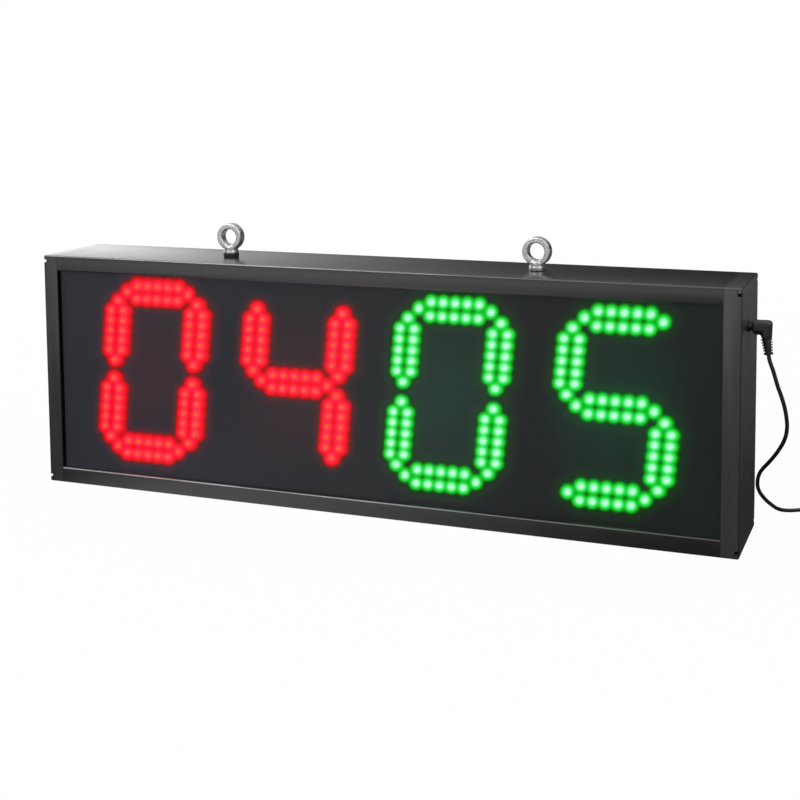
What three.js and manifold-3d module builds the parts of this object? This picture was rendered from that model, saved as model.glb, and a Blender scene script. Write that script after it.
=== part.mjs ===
// Electronic scoreboard: four dot-matrix digits behind a smoked panel in a folded sheet-steel case.
// Millimetres. X runs along the case, the digits face -Y, Z is up and the case stands on z = 0.
// It hangs from two eye bolts or stands on its bottom rail, and a right-angle plug feeds it.

import * as THREE from 'three';
import { mergeVertices } from 'three/addons/utils/BufferGeometryUtils.js';
import Module from 'manifold-3d';

const wasm = await Module();
wasm.setup();

// Driving dimensions of a digit: from column to column, from the middle row to the top row, the gap
// between the two rows of a segment that lies across, and the room to the next digit
const digits = 4;
const digitSpan = 101.3;
const segmentRise = 89.4;
const rowGapUp = 14.4;
const digitGap = 74.7;

// The gap between pieces that seat on each other, and how far a cutter runs past its cut
const fit = 0.3;
const overrun = 1;

// The board under each digit, and its room in the case
const digitPitch = digitSpan + digitGap;
const boardMargin = 15.4;
const boardGap = 4;
const boardEndGap = 19;
const boardSetback = 28;
const boardThickness = 1.6;
const boardWidth = digitPitch - boardGap;
const boardHeight = 2 * (segmentRise + rowGapUp / 2 + boardMargin);

// The case: as wide and high as the boards ask, and deep enough for the eye bolts' washers in its
// middle, behind the angles that hold the boards
const sheet = 1.2;
const bendRadius = 1.8;
const frameFace = 17.5;
const angleLeg = 11;
const eyeWasher = 10;
const washerGap = 4.1;
const endRoom = 38;
const caseWidth = digits * digitPitch + 2 * endRoom;
const caseHeight = boardHeight + 2 * boardEndGap;
const caseDepth = 2 * (boardSetback + boardThickness + fit + angleLeg + washerGap + eyeWasher);

// Planes and edges that several pieces share
const side = caseWidth / 2;
const front = -caseDepth / 2;
const back = caseDepth / 2;
const weld = 1e-4;

// Finishes
const steelBlack = { color: 0x35363a, roughness: 0.42, metalness: 0.35 };
const smoke = { color: 0x1c1d20, roughness: 0.12, metalness: 0 };
const aluminium = { color: 0xa9adb0, roughness: 0.4, metalness: 0.9 };
const laminate = { color: 0x14502f, roughness: 0.45, metalness: 0 };
const zinc = { color: 0xb7babb, roughness: 0.45, metalness: 0.9 };
const nylon = { color: 0xdedbd0, roughness: 0.55, metalness: 0 };
const ribbonGrey = { color: 0x8d9196, roughness: 0.6, metalness: 0 };
const moulding = { color: 0x17181a, roughness: 0.5, metalness: 0 };
const nickel = { color: 0xc9cbcc, roughness: 0.2, metalness: 1 };

const scoreboard = new THREE.Group();
scoreboard.name = 'electronic_scoreboard';

// A closed surface becomes a solid: shared corners are welded and its faces point out
function solid(geometry) {
  const bare = new THREE.BufferGeometry();
  bare.setAttribute('position', geometry.getAttribute('position').clone());
  if (geometry.index) bare.setIndex(geometry.index.clone());
  const merged = mergeVertices(bare, weld);
  const points = merged.getAttribute('position');
  const corners = [0, 1, 2].map(() => new THREE.Vector3());
  const triangles = [];
  let volume = 0;
  for (let i = 0; i < merged.index.count; i += 3) {
    const [a, b, c] = [0, 1, 2].map((k) => merged.index.getX(i + k));
    if (a === b || b === c || c === a) continue;
    triangles.push(a, b, c);
    [a, b, c].forEach((v, k) => corners[k].fromBufferAttribute(points, v));
    volume += corners[0].dot(corners[1].cross(corners[2]));
  }
  if (volume < 0) triangles.reverse();
  return new wasm.Manifold(new wasm.Mesh({
    numProp: 3,
    vertProperties: new Float32Array(points.array),
    triVerts: new Uint32Array(triangles),
  }));
}

function surface(body) {
  const mesh = body.getMesh();
  const geometry = new THREE.BufferGeometry();
  geometry.setAttribute('position', new THREE.BufferAttribute(new Float32Array(mesh.vertProperties), 3));
  geometry.setIndex(new THREE.BufferAttribute(new Uint32Array(mesh.triVerts), 1));
  geometry.computeVertexNormals();
  return geometry;
}

function addPart(name, shape, finish, place = [0, 0, 0], turn = [0, 0, 0]) {
  const geometry = shape.isBufferGeometry ? shape : surface(shape);
  const mesh = new THREE.Mesh(geometry, new THREE.MeshStandardMaterial(finish));
  mesh.name = name;
  mesh.position.set(...place);
  mesh.rotation.set(...turn);
  scoreboard.add(mesh);
  return mesh;
}

function joined(bodies) {
  return bodies.reduce((whole, body) => whole.add(body));
}

function cutBy(body, cutters) {
  return cutters.reduce((rest, cutter) => rest.subtract(cutter), body);
}

function box(x0, x1, y0, y1, z0, z1) {
  const geometry = new THREE.BoxGeometry(x1 - x0, y1 - y0, z1 - z0);
  geometry.translate((x0 + x1) / 2, (y0 + y1) / 2, (z0 + z1) / 2);
  return solid(geometry);
}

// A profile drawn in the plane square to an axis runs along that axis:
// X takes (y, z), Y takes (z, x) and Z takes (x, y)
const unitX = new THREE.Vector3(1, 0, 0);
const unitY = new THREE.Vector3(0, 1, 0);
const unitZ = new THREE.Vector3(0, 0, 1);
const bases = {
  x: new THREE.Matrix4().makeBasis(unitY, unitZ, unitX),
  y: new THREE.Matrix4().makeBasis(unitZ, unitX, unitY),
  z: new THREE.Matrix4().makeBasis(unitX, unitY, unitZ),
};

function outlined(points) {
  return new THREE.Shape(points.map(([u, v]) => new THREE.Vector2(u, v)));
}

function prism(outline, axis, from, to, edge = 0, edgeSteps = 0) {
  const curveSegments = 3;
  const geometry = new THREE.ExtrudeGeometry(outline instanceof THREE.Shape ? outline : outlined(outline), {
    depth: to - from - 2 * edge,
    steps: 1,
    curveSegments,
    bevelEnabled: edge > 0,
    bevelThickness: edge,
    bevelSize: edge,
    bevelOffset: -edge,
    bevelSegments: edgeSteps,
  });
  geometry.translate(0, 0, from + edge);
  geometry.applyMatrix4(bases[axis]);
  return solid(geometry);
}

function disc(u, v, radius, sides = 16) {
  return Array.from({ length: sides }, (_, k) => {
    const angle = ((k + 0.5) * 2 * Math.PI) / sides;
    return [u + radius * Math.cos(angle), v + radius * Math.sin(angle)];
  });
}

function roundedRectangle(u0, u1, v0, v1, radius) {
  const shape = new THREE.Shape();
  shape.moveTo(u0 + radius, v0);
  shape.lineTo(u1 - radius, v0);
  shape.absarc(u1 - radius, v0 + radius, radius, -Math.PI / 2, 0);
  shape.lineTo(u1, v1 - radius);
  shape.absarc(u1 - radius, v1 - radius, radius, 0, Math.PI / 2);
  shape.lineTo(u0 + radius, v1);
  shape.absarc(u0 + radius, v1 - radius, radius, Math.PI / 2, Math.PI);
  shape.lineTo(u0, v0 + radius);
  shape.absarc(u0 + radius, v0 + radius, radius, Math.PI, (3 * Math.PI) / 2);
  return shape;
}

// A turned piece: the profile lists (radius, distance along the axis)
function turned(profile, axis, sides) {
  const geometry = new THREE.LatheGeometry(profile.map(([r, h]) => new THREE.Vector2(r, h)), sides);
  if (axis === 'x') geometry.rotateZ(-Math.PI / 2);
  if (axis === 'z') geometry.rotateX(Math.PI / 2);
  return geometry;
}

// Folded sheet, cut across its bends. The path follows the face that is outermost, the sheet lies on
// its left, and every bend is a right angle
function folded(path, thickness, radius, steps = 2) {
  const face = [];
  const inside = [];
  const normals = path.slice(1).map(([u, v], k) => {
    const [du, dv] = [u - path[k][0], v - path[k][1]];
    const length = Math.hypot(du, dv);
    return [-dv / length, du / length];
  });
  path.forEach(([u, v], k) => {
    if (k === 0 || k === path.length - 1) {
      const [nu, nv] = normals[Math.min(k, normals.length - 1)];
      face.push([u, v]);
      inside.push([u + thickness * nu, v + thickness * nv]);
      return;
    }
    const [au, av] = normals[k - 1];
    const [bu, bv] = normals[k];
    const centre = [u + radius * (au + bu), v + radius * (av + bv)];
    const inner = radius - thickness;
    for (let s = 0; s <= steps; s += 1) {
      const angle = (s / steps) * (Math.PI / 2);
      const ru = au * Math.cos(angle) + bu * Math.sin(angle);
      const rv = av * Math.cos(angle) + bv * Math.sin(angle);
      face.push([centre[0] - radius * ru, centre[1] - radius * rv]);
      inside.push([centre[0] - inner * ru, centre[1] - inner * rv]);
    }
  });
  return [...face, ...inside.reverse()];
}

function mirrored(body) {
  return solid(surface(body).scale(-1, 1, 1));
}

// The stretch between two distances from an edge, measured inwards (sign 1 or -1), lowest value first
function stretch(edge, sign, a, b) {
  return [edge + sign * a, edge + sign * b].sort((u, v) => u - v);
}

// Case rails. The top and bottom of the case are channels with a front and a rear lip. The front lip
// turns back inwards to meet the panel. The ends are set in by one sheet, to slide under the end caps
const lipReturn = 6;
const tongueLength = 12;
const tongueInset = sheet + fit;
const railEnd = side - frameFace - fit;

function railPath(inset, returned, top) {
  const z = (value) => (top ? caseHeight - value : value);
  const turnedLip = [[front + lipReturn, z(frameFace)]];
  const path = [
    ...(returned ? turnedLip : []),
    [front + inset, z(frameFace)],
    [front + inset, z(inset)],
    [back - inset, z(inset)],
    [back - inset, z(frameFace)],
  ];
  return top ? path.reverse() : path;
}

function rail(top) {
  const run = (inset, returned, thickness, radius, from, to) => prism(
    folded(railPath(inset, returned, top), thickness, radius), 'x', from, to);
  const channel = run(0, true, sheet, bendRadius, -railEnd, railEnd);
  const ends = [-1, 1].flatMap((end) => {
    const joggle = stretch(0, end, railEnd - sheet, railEnd);
    const lap = stretch(0, end, railEnd - sheet, railEnd + tongueLength);
    const step = run(0, false, tongueInset + sheet, bendRadius + sheet, ...joggle);
    const tongue = run(tongueInset, false, sheet, bendRadius, ...lap);
    return [step, tongue];
  });
  return joined([channel, ...ends]);
}

// Screws that hold the rear cover: pan heads outside, on a line set in from the case outline
const coverInset = 7;
const coverCorner = 4;
const screwInset = 12.5;
const screwEndInset = 90;
const screwSpread = side - screwEndInset;
const screwShank = 1.5;
const screwHead = 2.9;
const screwHeadHeight = 1.9;
const screwCrownShare = 0.5;
const screwLength = 6;
const coverScrews = [
  ...[-screwSpread, 0, screwSpread].map((x) => [x, caseHeight - screwInset]),
  ...[-screwSpread, 0, screwSpread].map((x) => [x, screwInset]),
  [-(side - screwInset), caseHeight / 2],
  [side - screwInset, caseHeight / 2],
];

function screwHoles(sides = 8) {
  return coverScrews.map(([x, z]) => prism(
    disc(z, x, screwShank + fit, sides), 'y', back - sheet - overrun, back + fit + sheet + overrun));
}

// Eye bolts: a deep ring on a collar, with a shank through the top rail into a washer and a nut. The
// left one stands two turns short of its seat, so that its ring lies along the case
const eyeEndInset = 213;
const eyeLeftShift = 2;
const eyeSpread = side - eyeEndInset;
const eyeRing = 12;
const eyeRingThickness = 5.6;
const eyeRingDepth = 10;
const eyeRingEdge = 1.7;
const eyeRise = 19.7;
const eyeCollar = 8.3;
const eyeCollarHeight = 4;
const eyeCollarEdge = 0.7;
const eyeNeck = 7.6;
const eyeThroat = 5.2;
const eyeThroatHeight = 9.1;
const leftEyeStand = 2.5;
const eyeShank = 4;
const eyeShankLength = 20;
const eyeWasherThickness = 1.6;
const eyeNutAcross = 13;
const eyeNutHeight = 6.5;
const eyes = { left: -eyeSpread - eyeLeftShift, right: eyeSpread - eyeLeftShift };
const eyeStands = { left: leftEyeStand, right: 0 };

const eyeHoles = Object.values(eyes).map((x) => prism(
  disc(x, 0, eyeShank + fit), 'z', caseHeight - sheet - overrun, caseHeight + overrun));

addPart('top_rail', cutBy(rail(true), [...eyeHoles, ...screwHoles()]), steelBlack);
addPart('bottom_rail', cutBy(rail(false), screwHoles()), steelBlack);

// End caps: folded trays that close the case. Their flanges are the stiles of the front frame and lap
// over the rails. Each corner has a bend relief, and a small tab split off by a saw-thin slit
const tab = 5;
const tabWidth = 4.4;
const reliefHeight = 3.2;
const reliefDepth = 5;
const slit = 0.5;

// The supply jack sits in the right end cap
const jackSetback = 40;
const jackDrop = 42.5;
const jackY = front + jackSetback;
const jackZ = caseHeight - jackDrop;
const jackThread = 4;
const jackFlange = 5.6;
const jackFlangeThickness = 2;

function cornerCuts(y, inwards, z, upwards) {
  const relief = box(
    side - tabWidth, side + overrun,
    ...stretch(y, inwards, -overrun, reliefDepth),
    ...stretch(z, upwards, tab, tab + reliefHeight));
  const split = box(
    side - tabWidth - slit, side - tabWidth,
    ...stretch(y, inwards, -overrun, sheet + slit),
    ...stretch(z, upwards, bendRadius, tab + reliefHeight));
  return [relief, split];
}

function endCap() {
  const inner = side - frameFace;
  const upright = folded([[inner, front], [side, front], [side, back], [inner, back]], sheet, bendRadius);
  const across = folded(
    [[caseHeight, inner], [caseHeight, side], [0, side], [0, inner]], sheet, bendRadius);
  const rounded = roundedRectangle(front, back, 0, caseHeight, bendRadius);
  const tray = prism(upright, 'z', 0, caseHeight)
    .add(prism(across, 'y', front, back))
    .intersect(prism(rounded, 'x', inner - overrun, side + overrun));
  return cutBy(tray, [
    ...cornerCuts(front, 1, 0, 1),
    ...cornerCuts(front, 1, caseHeight, -1),
    ...cornerCuts(back, -1, 0, 1),
    ...cornerCuts(back, -1, caseHeight, -1),
  ]);
}

const plainCap = cutBy(endCap(), screwHoles());
const jackHole = prism(
  disc(jackY, jackZ, jackThread + fit, 20), 'x', side - sheet - overrun, side + overrun);
addPart('left_end_cap', mirrored(plainCap), steelBlack);
addPart('right_end_cap', plainCap.subtract(jackHole), steelBlack);

// Rear cover: a flat plate screwed over the rear lips
const coverFront = back + fit;
const coverBack = coverFront + sheet;
const coverOutline = roundedRectangle(
  coverInset, caseHeight - coverInset, coverInset - side, side - coverInset, coverCorner);
addPart('rear_cover', cutBy(prism(coverOutline, 'y', coverFront, coverBack), screwHoles()), steelBlack);

// A pan-head screw along Y: the shank runs from 0 back to -length, the crowned head stands ahead of 0
function panScrew(length) {
  return turned([
    [0, -length],
    [screwShank, -length],
    [screwShank, 0],
    [screwHead, 0],
    [screwHead, screwCrownShare * screwHeadHeight],
    [0, screwHeadHeight],
  ], 'y', 8);
}

coverScrews.forEach(([x, z], k) => {
  addPart(`rear_screw_${k + 1}`, panScrew(screwLength), zinc, [x, coverBack + fit, z]);
});

// Front panel: smoked acrylic that lies against the turned-in lips and runs behind the end caps
const panelThickness = 3;
const panelOverlap = 10;
const panelEdgeGap = sheet + tongueInset + fit;
const panelFront = front + lipReturn + fit;
const panelBack = panelFront + panelThickness;
const panelReach = side - frameFace + panelOverlap;
const panelPlate = box(
  -panelReach, panelReach, panelFront, panelBack, panelEdgeGap, caseHeight - panelEdgeGap);
addPart('front_panel', panelPlate, smoke);

// Angles fixed under the top rail and on the bottom rail. A pair holds the panel, another the boards
const angleEndGap = 2;
const angleReach = railEnd - sheet - angleEndGap;
const retainerDrop = 14;
const boardScrewInset = 6.5;
const boardAngleDrop = boardEndGap + 2 * boardScrewInset;

function angle(y, drop, top) {
  const seat = sheet + fit;
  const z = (value) => (top ? caseHeight - value : value);
  const path = [[y + angleLeg, z(seat)], [y, z(seat)], [y, z(drop)]];
  return prism(folded(top ? path : path.reverse(), sheet, bendRadius), 'x', -angleReach, angleReach);
}

const retainerFront = panelBack + fit;
addPart('panel_retainer_top', angle(retainerFront, retainerDrop, true), aluminium);
addPart('panel_retainer_bottom', angle(retainerFront, retainerDrop, false), aluminium);

// Digit boards: each carries one seven-segment digit of 84 lens-top lamps. A segment is a tip, five
// pairs and a tip at one pitch, and the digit leans to the right
const boardFront = front + boardSetback;
const boardBack = boardFront + boardThickness;
const displayLift = 1;
const lampRadius = 2.5;
const lampStraight = 6;
const lampDome = 2.5;
const lampRoot = 0.8;
const pairs = 5;
const columnTipGap = 11.35;
const rowTipGap = 10.65;
const middle = (pairs + 1) / 2;
const pitchAcross = (digitSpan / 2 - columnTipGap) / middle;
const pitchUp = (segmentRise / 2 - rowTipGap) / middle;
const rowGapAcross = 15.3;
const leanShare = 0.095;
const headerWidth = 9;
const headerHeight = 20;
const headerDepth = 8.4;
const headerInset = 12;
const headerSpread = boardWidth / 2 - headerInset;
const digitXs = Array.from({ length: digits }, (_, k) => (k - (digits - 1) / 2) * digitPitch);

// Lamp places from the digit's centre: rows a, g and d across, and columns b, c, e and f upright
function lampPlaces() {
  const places = [];
  const steps = Array.from({ length: pairs }, (_, k) => k + 1 - middle);
  for (const z of [segmentRise, 0, -segmentRise]) {
    for (const end of [-middle, middle]) places.push([end * pitchAcross, z]);
    for (const k of steps) {
      for (const edge of [-0.5, 0.5]) places.push([k * pitchAcross, z + edge * rowGapUp]);
    }
  }
  for (const x of [-digitSpan / 2, digitSpan / 2]) {
    for (const z of [segmentRise / 2, -segmentRise / 2]) {
      for (const end of [-middle, middle]) places.push([x, z + end * pitchUp]);
      for (const k of steps) {
        for (const edge of [-0.5, 0.5]) places.push([x + edge * rowGapAcross, z + k * pitchUp]);
      }
    }
  }
  return places.map(([x, z]) => [x + leanShare * z, z]);
}

const boardScrewZ = boardHeight / 2 - boardScrewInset;
const boardScrewLength = 6;

function lamp() {
  return turned([
    [0, -lampRoot],
    [lampRadius, -lampRoot],
    [lampRadius, lampStraight],
    [0, lampStraight + lampDome],
  ], 'y', 5).rotateX(Math.PI);
}

function digitBoard(centreX) {
  const centreZ = caseHeight / 2;
  const [halfWidth, halfHeight] = [boardWidth / 2, boardHeight / 2];
  const plate = box(
    centreX - halfWidth, centreX + halfWidth, boardFront, boardBack,
    centreZ - halfHeight, centreZ + halfHeight);
  const holes = [boardScrewZ, -boardScrewZ].map((z) => prism(
    disc(centreZ + z, centreX, screwShank + fit, 8), 'y', boardFront - overrun, boardBack + overrun));
  const lamps = lampPlaces().map(([x, z]) => solid(
    lamp().translate(centreX + x, boardFront, centreZ + displayLift + z)));
  const headers = [-headerSpread, headerSpread].map((x) => box(
    centreX + x - headerWidth / 2, centreX + x + headerWidth / 2,
    boardBack - lampRoot, boardBack + headerDepth,
    centreZ - headerHeight / 2, centreZ + headerHeight / 2));
  return cutBy(joined([plate, ...lamps, ...headers]), holes);
}

const boardAngleFront = boardBack + fit;
const boardAngleHoles = digitXs.flatMap((x) => [boardScrewZ, -boardScrewZ].map((z) => prism(
  disc(caseHeight / 2 + z, x, screwShank + fit, 8), 'y',
  boardAngleFront - overrun, boardAngleFront + sheet + overrun)));
const upperBoardAngle = angle(boardAngleFront, boardAngleDrop, true);
addPart('board_angle_top', cutBy(upperBoardAngle, boardAngleHoles), aluminium);
const lowerBoardAngle = angle(boardAngleFront, boardAngleDrop, false);
addPart('board_angle_bottom', cutBy(lowerBoardAngle, boardAngleHoles), aluminium);

digitXs.forEach((x, k) => {
  addPart(`digit_board_${k + 1}`, digitBoard(x), laminate);
  [['upper', boardScrewZ], ['lower', -boardScrewZ]].forEach(([where, z]) => {
    addPart(`digit_screw_${k + 1}_${where}`, panScrew(boardScrewLength), zinc,
      [x, boardFront - fit, caseHeight / 2 + z], [Math.PI, 0, 0]);
  });
});

// Ribbon cables bridge the headers of neighbouring boards in an arch
const ribbonWidth = 15;
const ribbonThickness = 1;
const ribbonBow = 17;

function arch(x0, x1, y0, bow, steps = 10) {
  const [centre, reach] = [(x0 + x1) / 2, (x1 - x0) / 2];
  const arc = (inset) => Array.from({ length: steps + 1 }, (_, k) => {
    const angleAt = Math.PI - (k / steps) * Math.PI;
    return [centre + (reach - inset) * Math.cos(angleAt), y0 + (bow - inset) * Math.sin(angleAt)];
  });
  return [...arc(0), ...arc(ribbonThickness).reverse()];
}

const headerFace = boardBack + headerDepth;
const bridges = digitXs.slice(1).map((x, k) => [digitXs[k] + headerSpread, x - headerSpread]);
bridges.forEach(([x0, x1], k) => {
  const shape = prism(arch(x0, x1, headerFace + fit, ribbonBow), 'z',
    (caseHeight - ribbonWidth) / 2, (caseHeight + ribbonWidth) / 2);
  addPart(`ribbon_cable_${k + 1}`, shape, ribbonGrey);
});

// Control board: stands on nylon pillars that snap into the rear cover, with its parts facing forward
const lastHeaderX = digitXs[digits - 1] + headerSpread;
const outletShift = 24;
const outletAcross = 52;
const outletX = lastHeaderX - outletShift;
const controlX = outletX - outletAcross;
const controlZ = caseHeight / 2;
const controlWidth = 120;
const controlHeight = 84;
const controlThickness = 1.6;
const pillarRadius = 3.2;
const pillarTip = 1.5;
const pillarTipLength = 4;
const pillarLength = 14;
const pillarInset = 5;
const controlBack = coverFront - fit - pillarLength - fit;
const controlFront = controlBack - controlThickness;
const pillarPlaces = [-1, 1].flatMap((u) => [-1, 1].map((v) => [
  controlX + u * (controlWidth / 2 - pillarInset), controlZ + v * (controlHeight / 2 - pillarInset)]));

// What stands on the control board. Centre across and up, width and height are shares of the board's
// own, and the last share is of the header's depth and says how far the part stands off
const processorShares = [0.033, 0.024, 0.1, 0.143, 0.214];
const driverShares = [
  [-0.117, 0.31, 0.05, 0.119, 0.214],
  [0, 0.31, 0.05, 0.119, 0.214],
  [0.117, 0.31, 0.05, 0.119, 0.214],
];
const regulatorShares = [-0.283, -0.286, 0.125, 0.119, 0.536];
const receiverShares = [-0.333, 0.238, 0.15, 0.119, 0.595];
const crystalShares = [0.183, -0.19, 0.083, 0.048, 0.417];
const capacitorShares = [-0.117, -0.31];
const capacitorRadius = 5;
const capacitorHeight = 12;
const terminalAcross = 46;
const terminalUp = 4;
const terminalWidth = 10;
const terminalHeight = 20;
const terminalRise = 10;

function controlBoard() {
  const block = (u, v, width, height, rise) => box(
    controlX + u - width / 2, controlX + u + width / 2,
    controlFront - rise, controlFront + controlThickness / 2,
    controlZ + v - height / 2, controlZ + v + height / 2);
  const chips = [processorShares, ...driverShares, regulatorShares, receiverShares, crystalShares];
  const parts = chips.map(([across, up, width, height, rise]) => block(
    across * controlWidth, up * controlHeight, width * controlWidth, height * controlHeight,
    rise * headerDepth));
  const terminals = block(terminalAcross, terminalUp, terminalWidth, terminalHeight, terminalRise);
  const outlet = block(outletAcross, 0, headerWidth, headerHeight, headerDepth);
  const [capacitorAcross, capacitorUp] = capacitorShares;
  const capacitor = prism(
    disc(controlZ + capacitorUp * controlHeight, controlX + capacitorAcross * controlWidth,
      capacitorRadius, 12), 'y',
    controlFront - capacitorHeight, controlFront + controlThickness / 2);
  const plate = box(
    controlX - controlWidth / 2, controlX + controlWidth / 2, controlFront, controlBack,
    controlZ - controlHeight / 2, controlZ + controlHeight / 2);
  const holes = pillarPlaces.map(([x, z]) => prism(
    disc(z, x, pillarTip + fit, 8), 'y', controlFront - overrun, controlBack + overrun));
  return cutBy(joined([plate, ...parts, terminals, outlet, capacitor]), holes);
}

addPart('control_board', controlBoard(), laminate);
pillarPlaces.forEach(([x, z], k) => {
  const pillar = turned([
    [0, 0],
    [pillarRadius, 0],
    [pillarRadius, pillarLength],
    [pillarTip, pillarLength],
    [pillarTip, pillarLength + pillarTipLength],
    [0, pillarLength + pillarTipLength + pillarTip],
  ], 'y', 8);
  addPart(`board_pillar_${k + 1}`, pillar, nylon, [x, coverFront - fit, z], [Math.PI, 0, 0]);
});

// The control ribbon leaves the outlet on the control board for the last digit board
const outletFace = controlFront - headerDepth;

function controlRibbon(steps = 8) {
  const [y0, y1] = [headerFace + fit, outletFace - fit];
  const line = (offset) => Array.from({ length: steps + 1 }, (_, k) => {
    const t = k / steps;
    const ease = t * t * (3 - 2 * t);
    return [lastHeaderX + (outletX - lastHeaderX) * ease + offset, y0 + (y1 - y0) * t];
  });
  return [...line(ribbonThickness), ...line(0).reverse()];
}

addPart('ribbon_cable_control', prism(controlRibbon(), 'z',
  (caseHeight - ribbonWidth) / 2, (caseHeight + ribbonWidth) / 2), ribbonGrey);

// Supply jack: a threaded sleeve with a flange outside, a centre pin in its bore and two solder lugs
const plugSleeve = 2.75;
const plugSleeveLength = 9.5;
const jackPin = 1;
const jackBore = plugSleeve + fit;
const jackFace = side + fit + jackFlangeThickness;
const jackDepth = 13;
const jackRear = side - jackDepth;
const jackBoreDepth = plugSleeveLength + 2 * fit;
const lugLength = 5;
const lugThickness = 0.8;
const lugHeight = 2.4;
const lugSpread = 2.2;

function supplyJack() {
  const body = solid(turned([
    [0, jackFace - overrun],
    [jackPin, jackFace - overrun],
    [jackPin, jackFace - jackBoreDepth],
    [jackBore, jackFace - jackBoreDepth],
    [jackBore, jackFace],
    [jackFlange, jackFace],
    [jackFlange, side + fit],
    [jackThread, side + fit],
    [jackThread, jackRear],
    [0, jackRear],
  ], 'x', 16));
  const lugs = [-lugSpread, lugSpread].map((y) => box(
    jackRear - lugLength, jackRear + overrun,
    y - lugThickness / 2, y + lugThickness / 2,
    -lugHeight / 2, lugHeight / 2));
  return joined([body, ...lugs]);
}

addPart('supply_jack', supplyJack(), moulding, [0, jackY, jackZ]);

const jackNutAcross = 11;
const jackNutHeight = 2.4;

// A flat ring whose outside has any number of sides, and so a nut where it has six
function bored(radius, sides, boreRadius, height) {
  const outline = outlined(disc(0, 0, radius, sides));
  const bore = disc(0, 0, boreRadius).map(([u, v]) => new THREE.Vector2(u, v));
  outline.holes.push(new THREE.Path(bore));
  return prism(outline, 'z', 0, height);
}

function nut(across, boreRadius, height) {
  return bored(across / Math.sqrt(3), 6, boreRadius, height);
}

addPart('jack_nut', nut(jackNutAcross, jackThread + fit, jackNutHeight), nickel,
  [side - sheet - fit, jackY, jackZ], [0, -Math.PI / 2, 0]);

// The inner supply lead runs from the jack's lugs to the terminals on the control board
// It leaves both ends straight, and between them its points are shares of the way along X, Y and Z
const leadRadius = 1.8;
const leadStraight = 7;
const leadShares = [[0.4, 0.3, 0.1], [0.8, 0.8, 0.5]];
const leadStart = new THREE.Vector3(jackRear - lugLength - fit, jackY, jackZ);
const leadEnd = new THREE.Vector3(
  controlX + terminalAcross,
  controlFront - terminalRise / 2,
  controlZ + terminalUp + terminalHeight / 2 + fit);
const leadRoute = new THREE.CatmullRomCurve3([
  leadStart,
  leadStart.clone().addScaledVector(unitX, -leadStraight),
  ...leadShares.map((along) => leadEnd.clone().sub(leadStart)
    .multiply(new THREE.Vector3(...along))
    .add(leadStart)),
  leadEnd.clone().addScaledVector(unitZ, leadStraight),
  leadEnd,
]);

function tubeAlong(curve, radius, sides, steps) {
  return new THREE.ExtrudeGeometry(outlined(disc(0, 0, radius, sides)), {
    steps,
    extrudePath: curve,
    bevelEnabled: false,
  });
}

addPart('supply_lead', solid(tubeAlong(leadRoute, leadRadius, 8, 14)), moulding);

// Eye bolts with their washers and nuts
function eyeBolt() {
  const [inner, outer] = [-1, 1].map((way) => eyeRing + (way * eyeRingThickness) / 2);
  const face = eyeRingDepth / 2;
  const ring = turned([
    [inner, face - eyeRingEdge],
    [inner, eyeRingEdge - face],
    [inner + eyeRingEdge, -face],
    [outer - eyeRingEdge, -face],
    [outer, eyeRingEdge - face],
    [outer, face - eyeRingEdge],
    [outer - eyeRingEdge, face],
    [inner + eyeRingEdge, face],
    [inner, face - eyeRingEdge],
  ], 'y', 24).translate(0, 0, eyeRise);
  const stem = turned([
    [0, -eyeShankLength],
    [eyeShank, -eyeShankLength],
    [eyeShank, 0],
    [eyeCollar, 0],
    [eyeCollar, eyeCollarHeight - eyeCollarEdge],
    [eyeNeck, eyeCollarHeight],
    [eyeNeck, eyeRise - eyeRing],
    [eyeThroat, eyeThroatHeight],
    [0, eyeThroatHeight],
  ], 'z', 14);
  return solid(ring).add(solid(stem));
}

Object.entries(eyes).forEach(([where, x]) => {
  addPart(`${where}_eye_bolt`, eyeBolt(), zinc, [x, 0, caseHeight + fit + eyeStands[where]]);
  const washer = bored(eyeWasher, 12, eyeShank + fit, eyeWasherThickness);
  const washerZ = caseHeight - sheet - fit - eyeWasherThickness;
  addPart(`${where}_eye_washer`, washer, zinc, [x, 0, washerZ]);
  addPart(`${where}_eye_nut`, nut(eyeNutAcross, eyeShank + fit, eyeNutHeight), zinc,
    [x, 0, washerZ - fit - eyeNutHeight]);
});

// Right-angle plug: one moulding with a ribbed boot round a metal sleeve that enters the jack
const plugThickness = 11.4;
const plugEdge = 2.2;
const plugReach = 23.2;
const plugTop = 7.4;
const plugDrop = 10.5;
const plugBelly = 7;
const plugNeck = 5.2;
const plugNeckLength = 3.4;
const plugHaunch = 2.6;
const bootLength = 16.4;
const bootRoot = 5.1;
const bootTip = 4.3;
const bootGroove = 1.3;
const bootRibs = 7;
const bootCrestShare = 0.3;
const bootValleyShare = 0.8;
const bootLean = THREE.MathUtils.degToRad(8.3);
const cordRadius = 2;
const plugFace = jackFace + fit;
const plugColumn = side + plugReach - plugThickness / 2;

function plugOutline() {
  const [left, right] = [plugColumn - plugThickness / 2, plugColumn + plugThickness / 2];
  const shape = new THREE.Shape();
  shape.moveTo(jackZ - plugNeck, plugFace);
  shape.lineTo(jackZ - plugBelly, plugFace + plugNeckLength);
  shape.lineTo(jackZ - plugBelly, left - plugHaunch);
  shape.lineTo(jackZ - plugBelly - plugHaunch, left);
  shape.lineTo(jackZ - plugDrop, left);
  shape.lineTo(jackZ - plugDrop, right);
  shape.lineTo(jackZ + plugTop - plugHaunch, right);
  shape.absarc(jackZ + plugTop - plugHaunch, right - plugHaunch, plugHaunch, Math.PI / 2, 0, true);
  shape.lineTo(jackZ + plugTop, plugFace + plugNeckLength);
  shape.lineTo(jackZ + plugNeck, plugFace);
  return shape;
}

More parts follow.
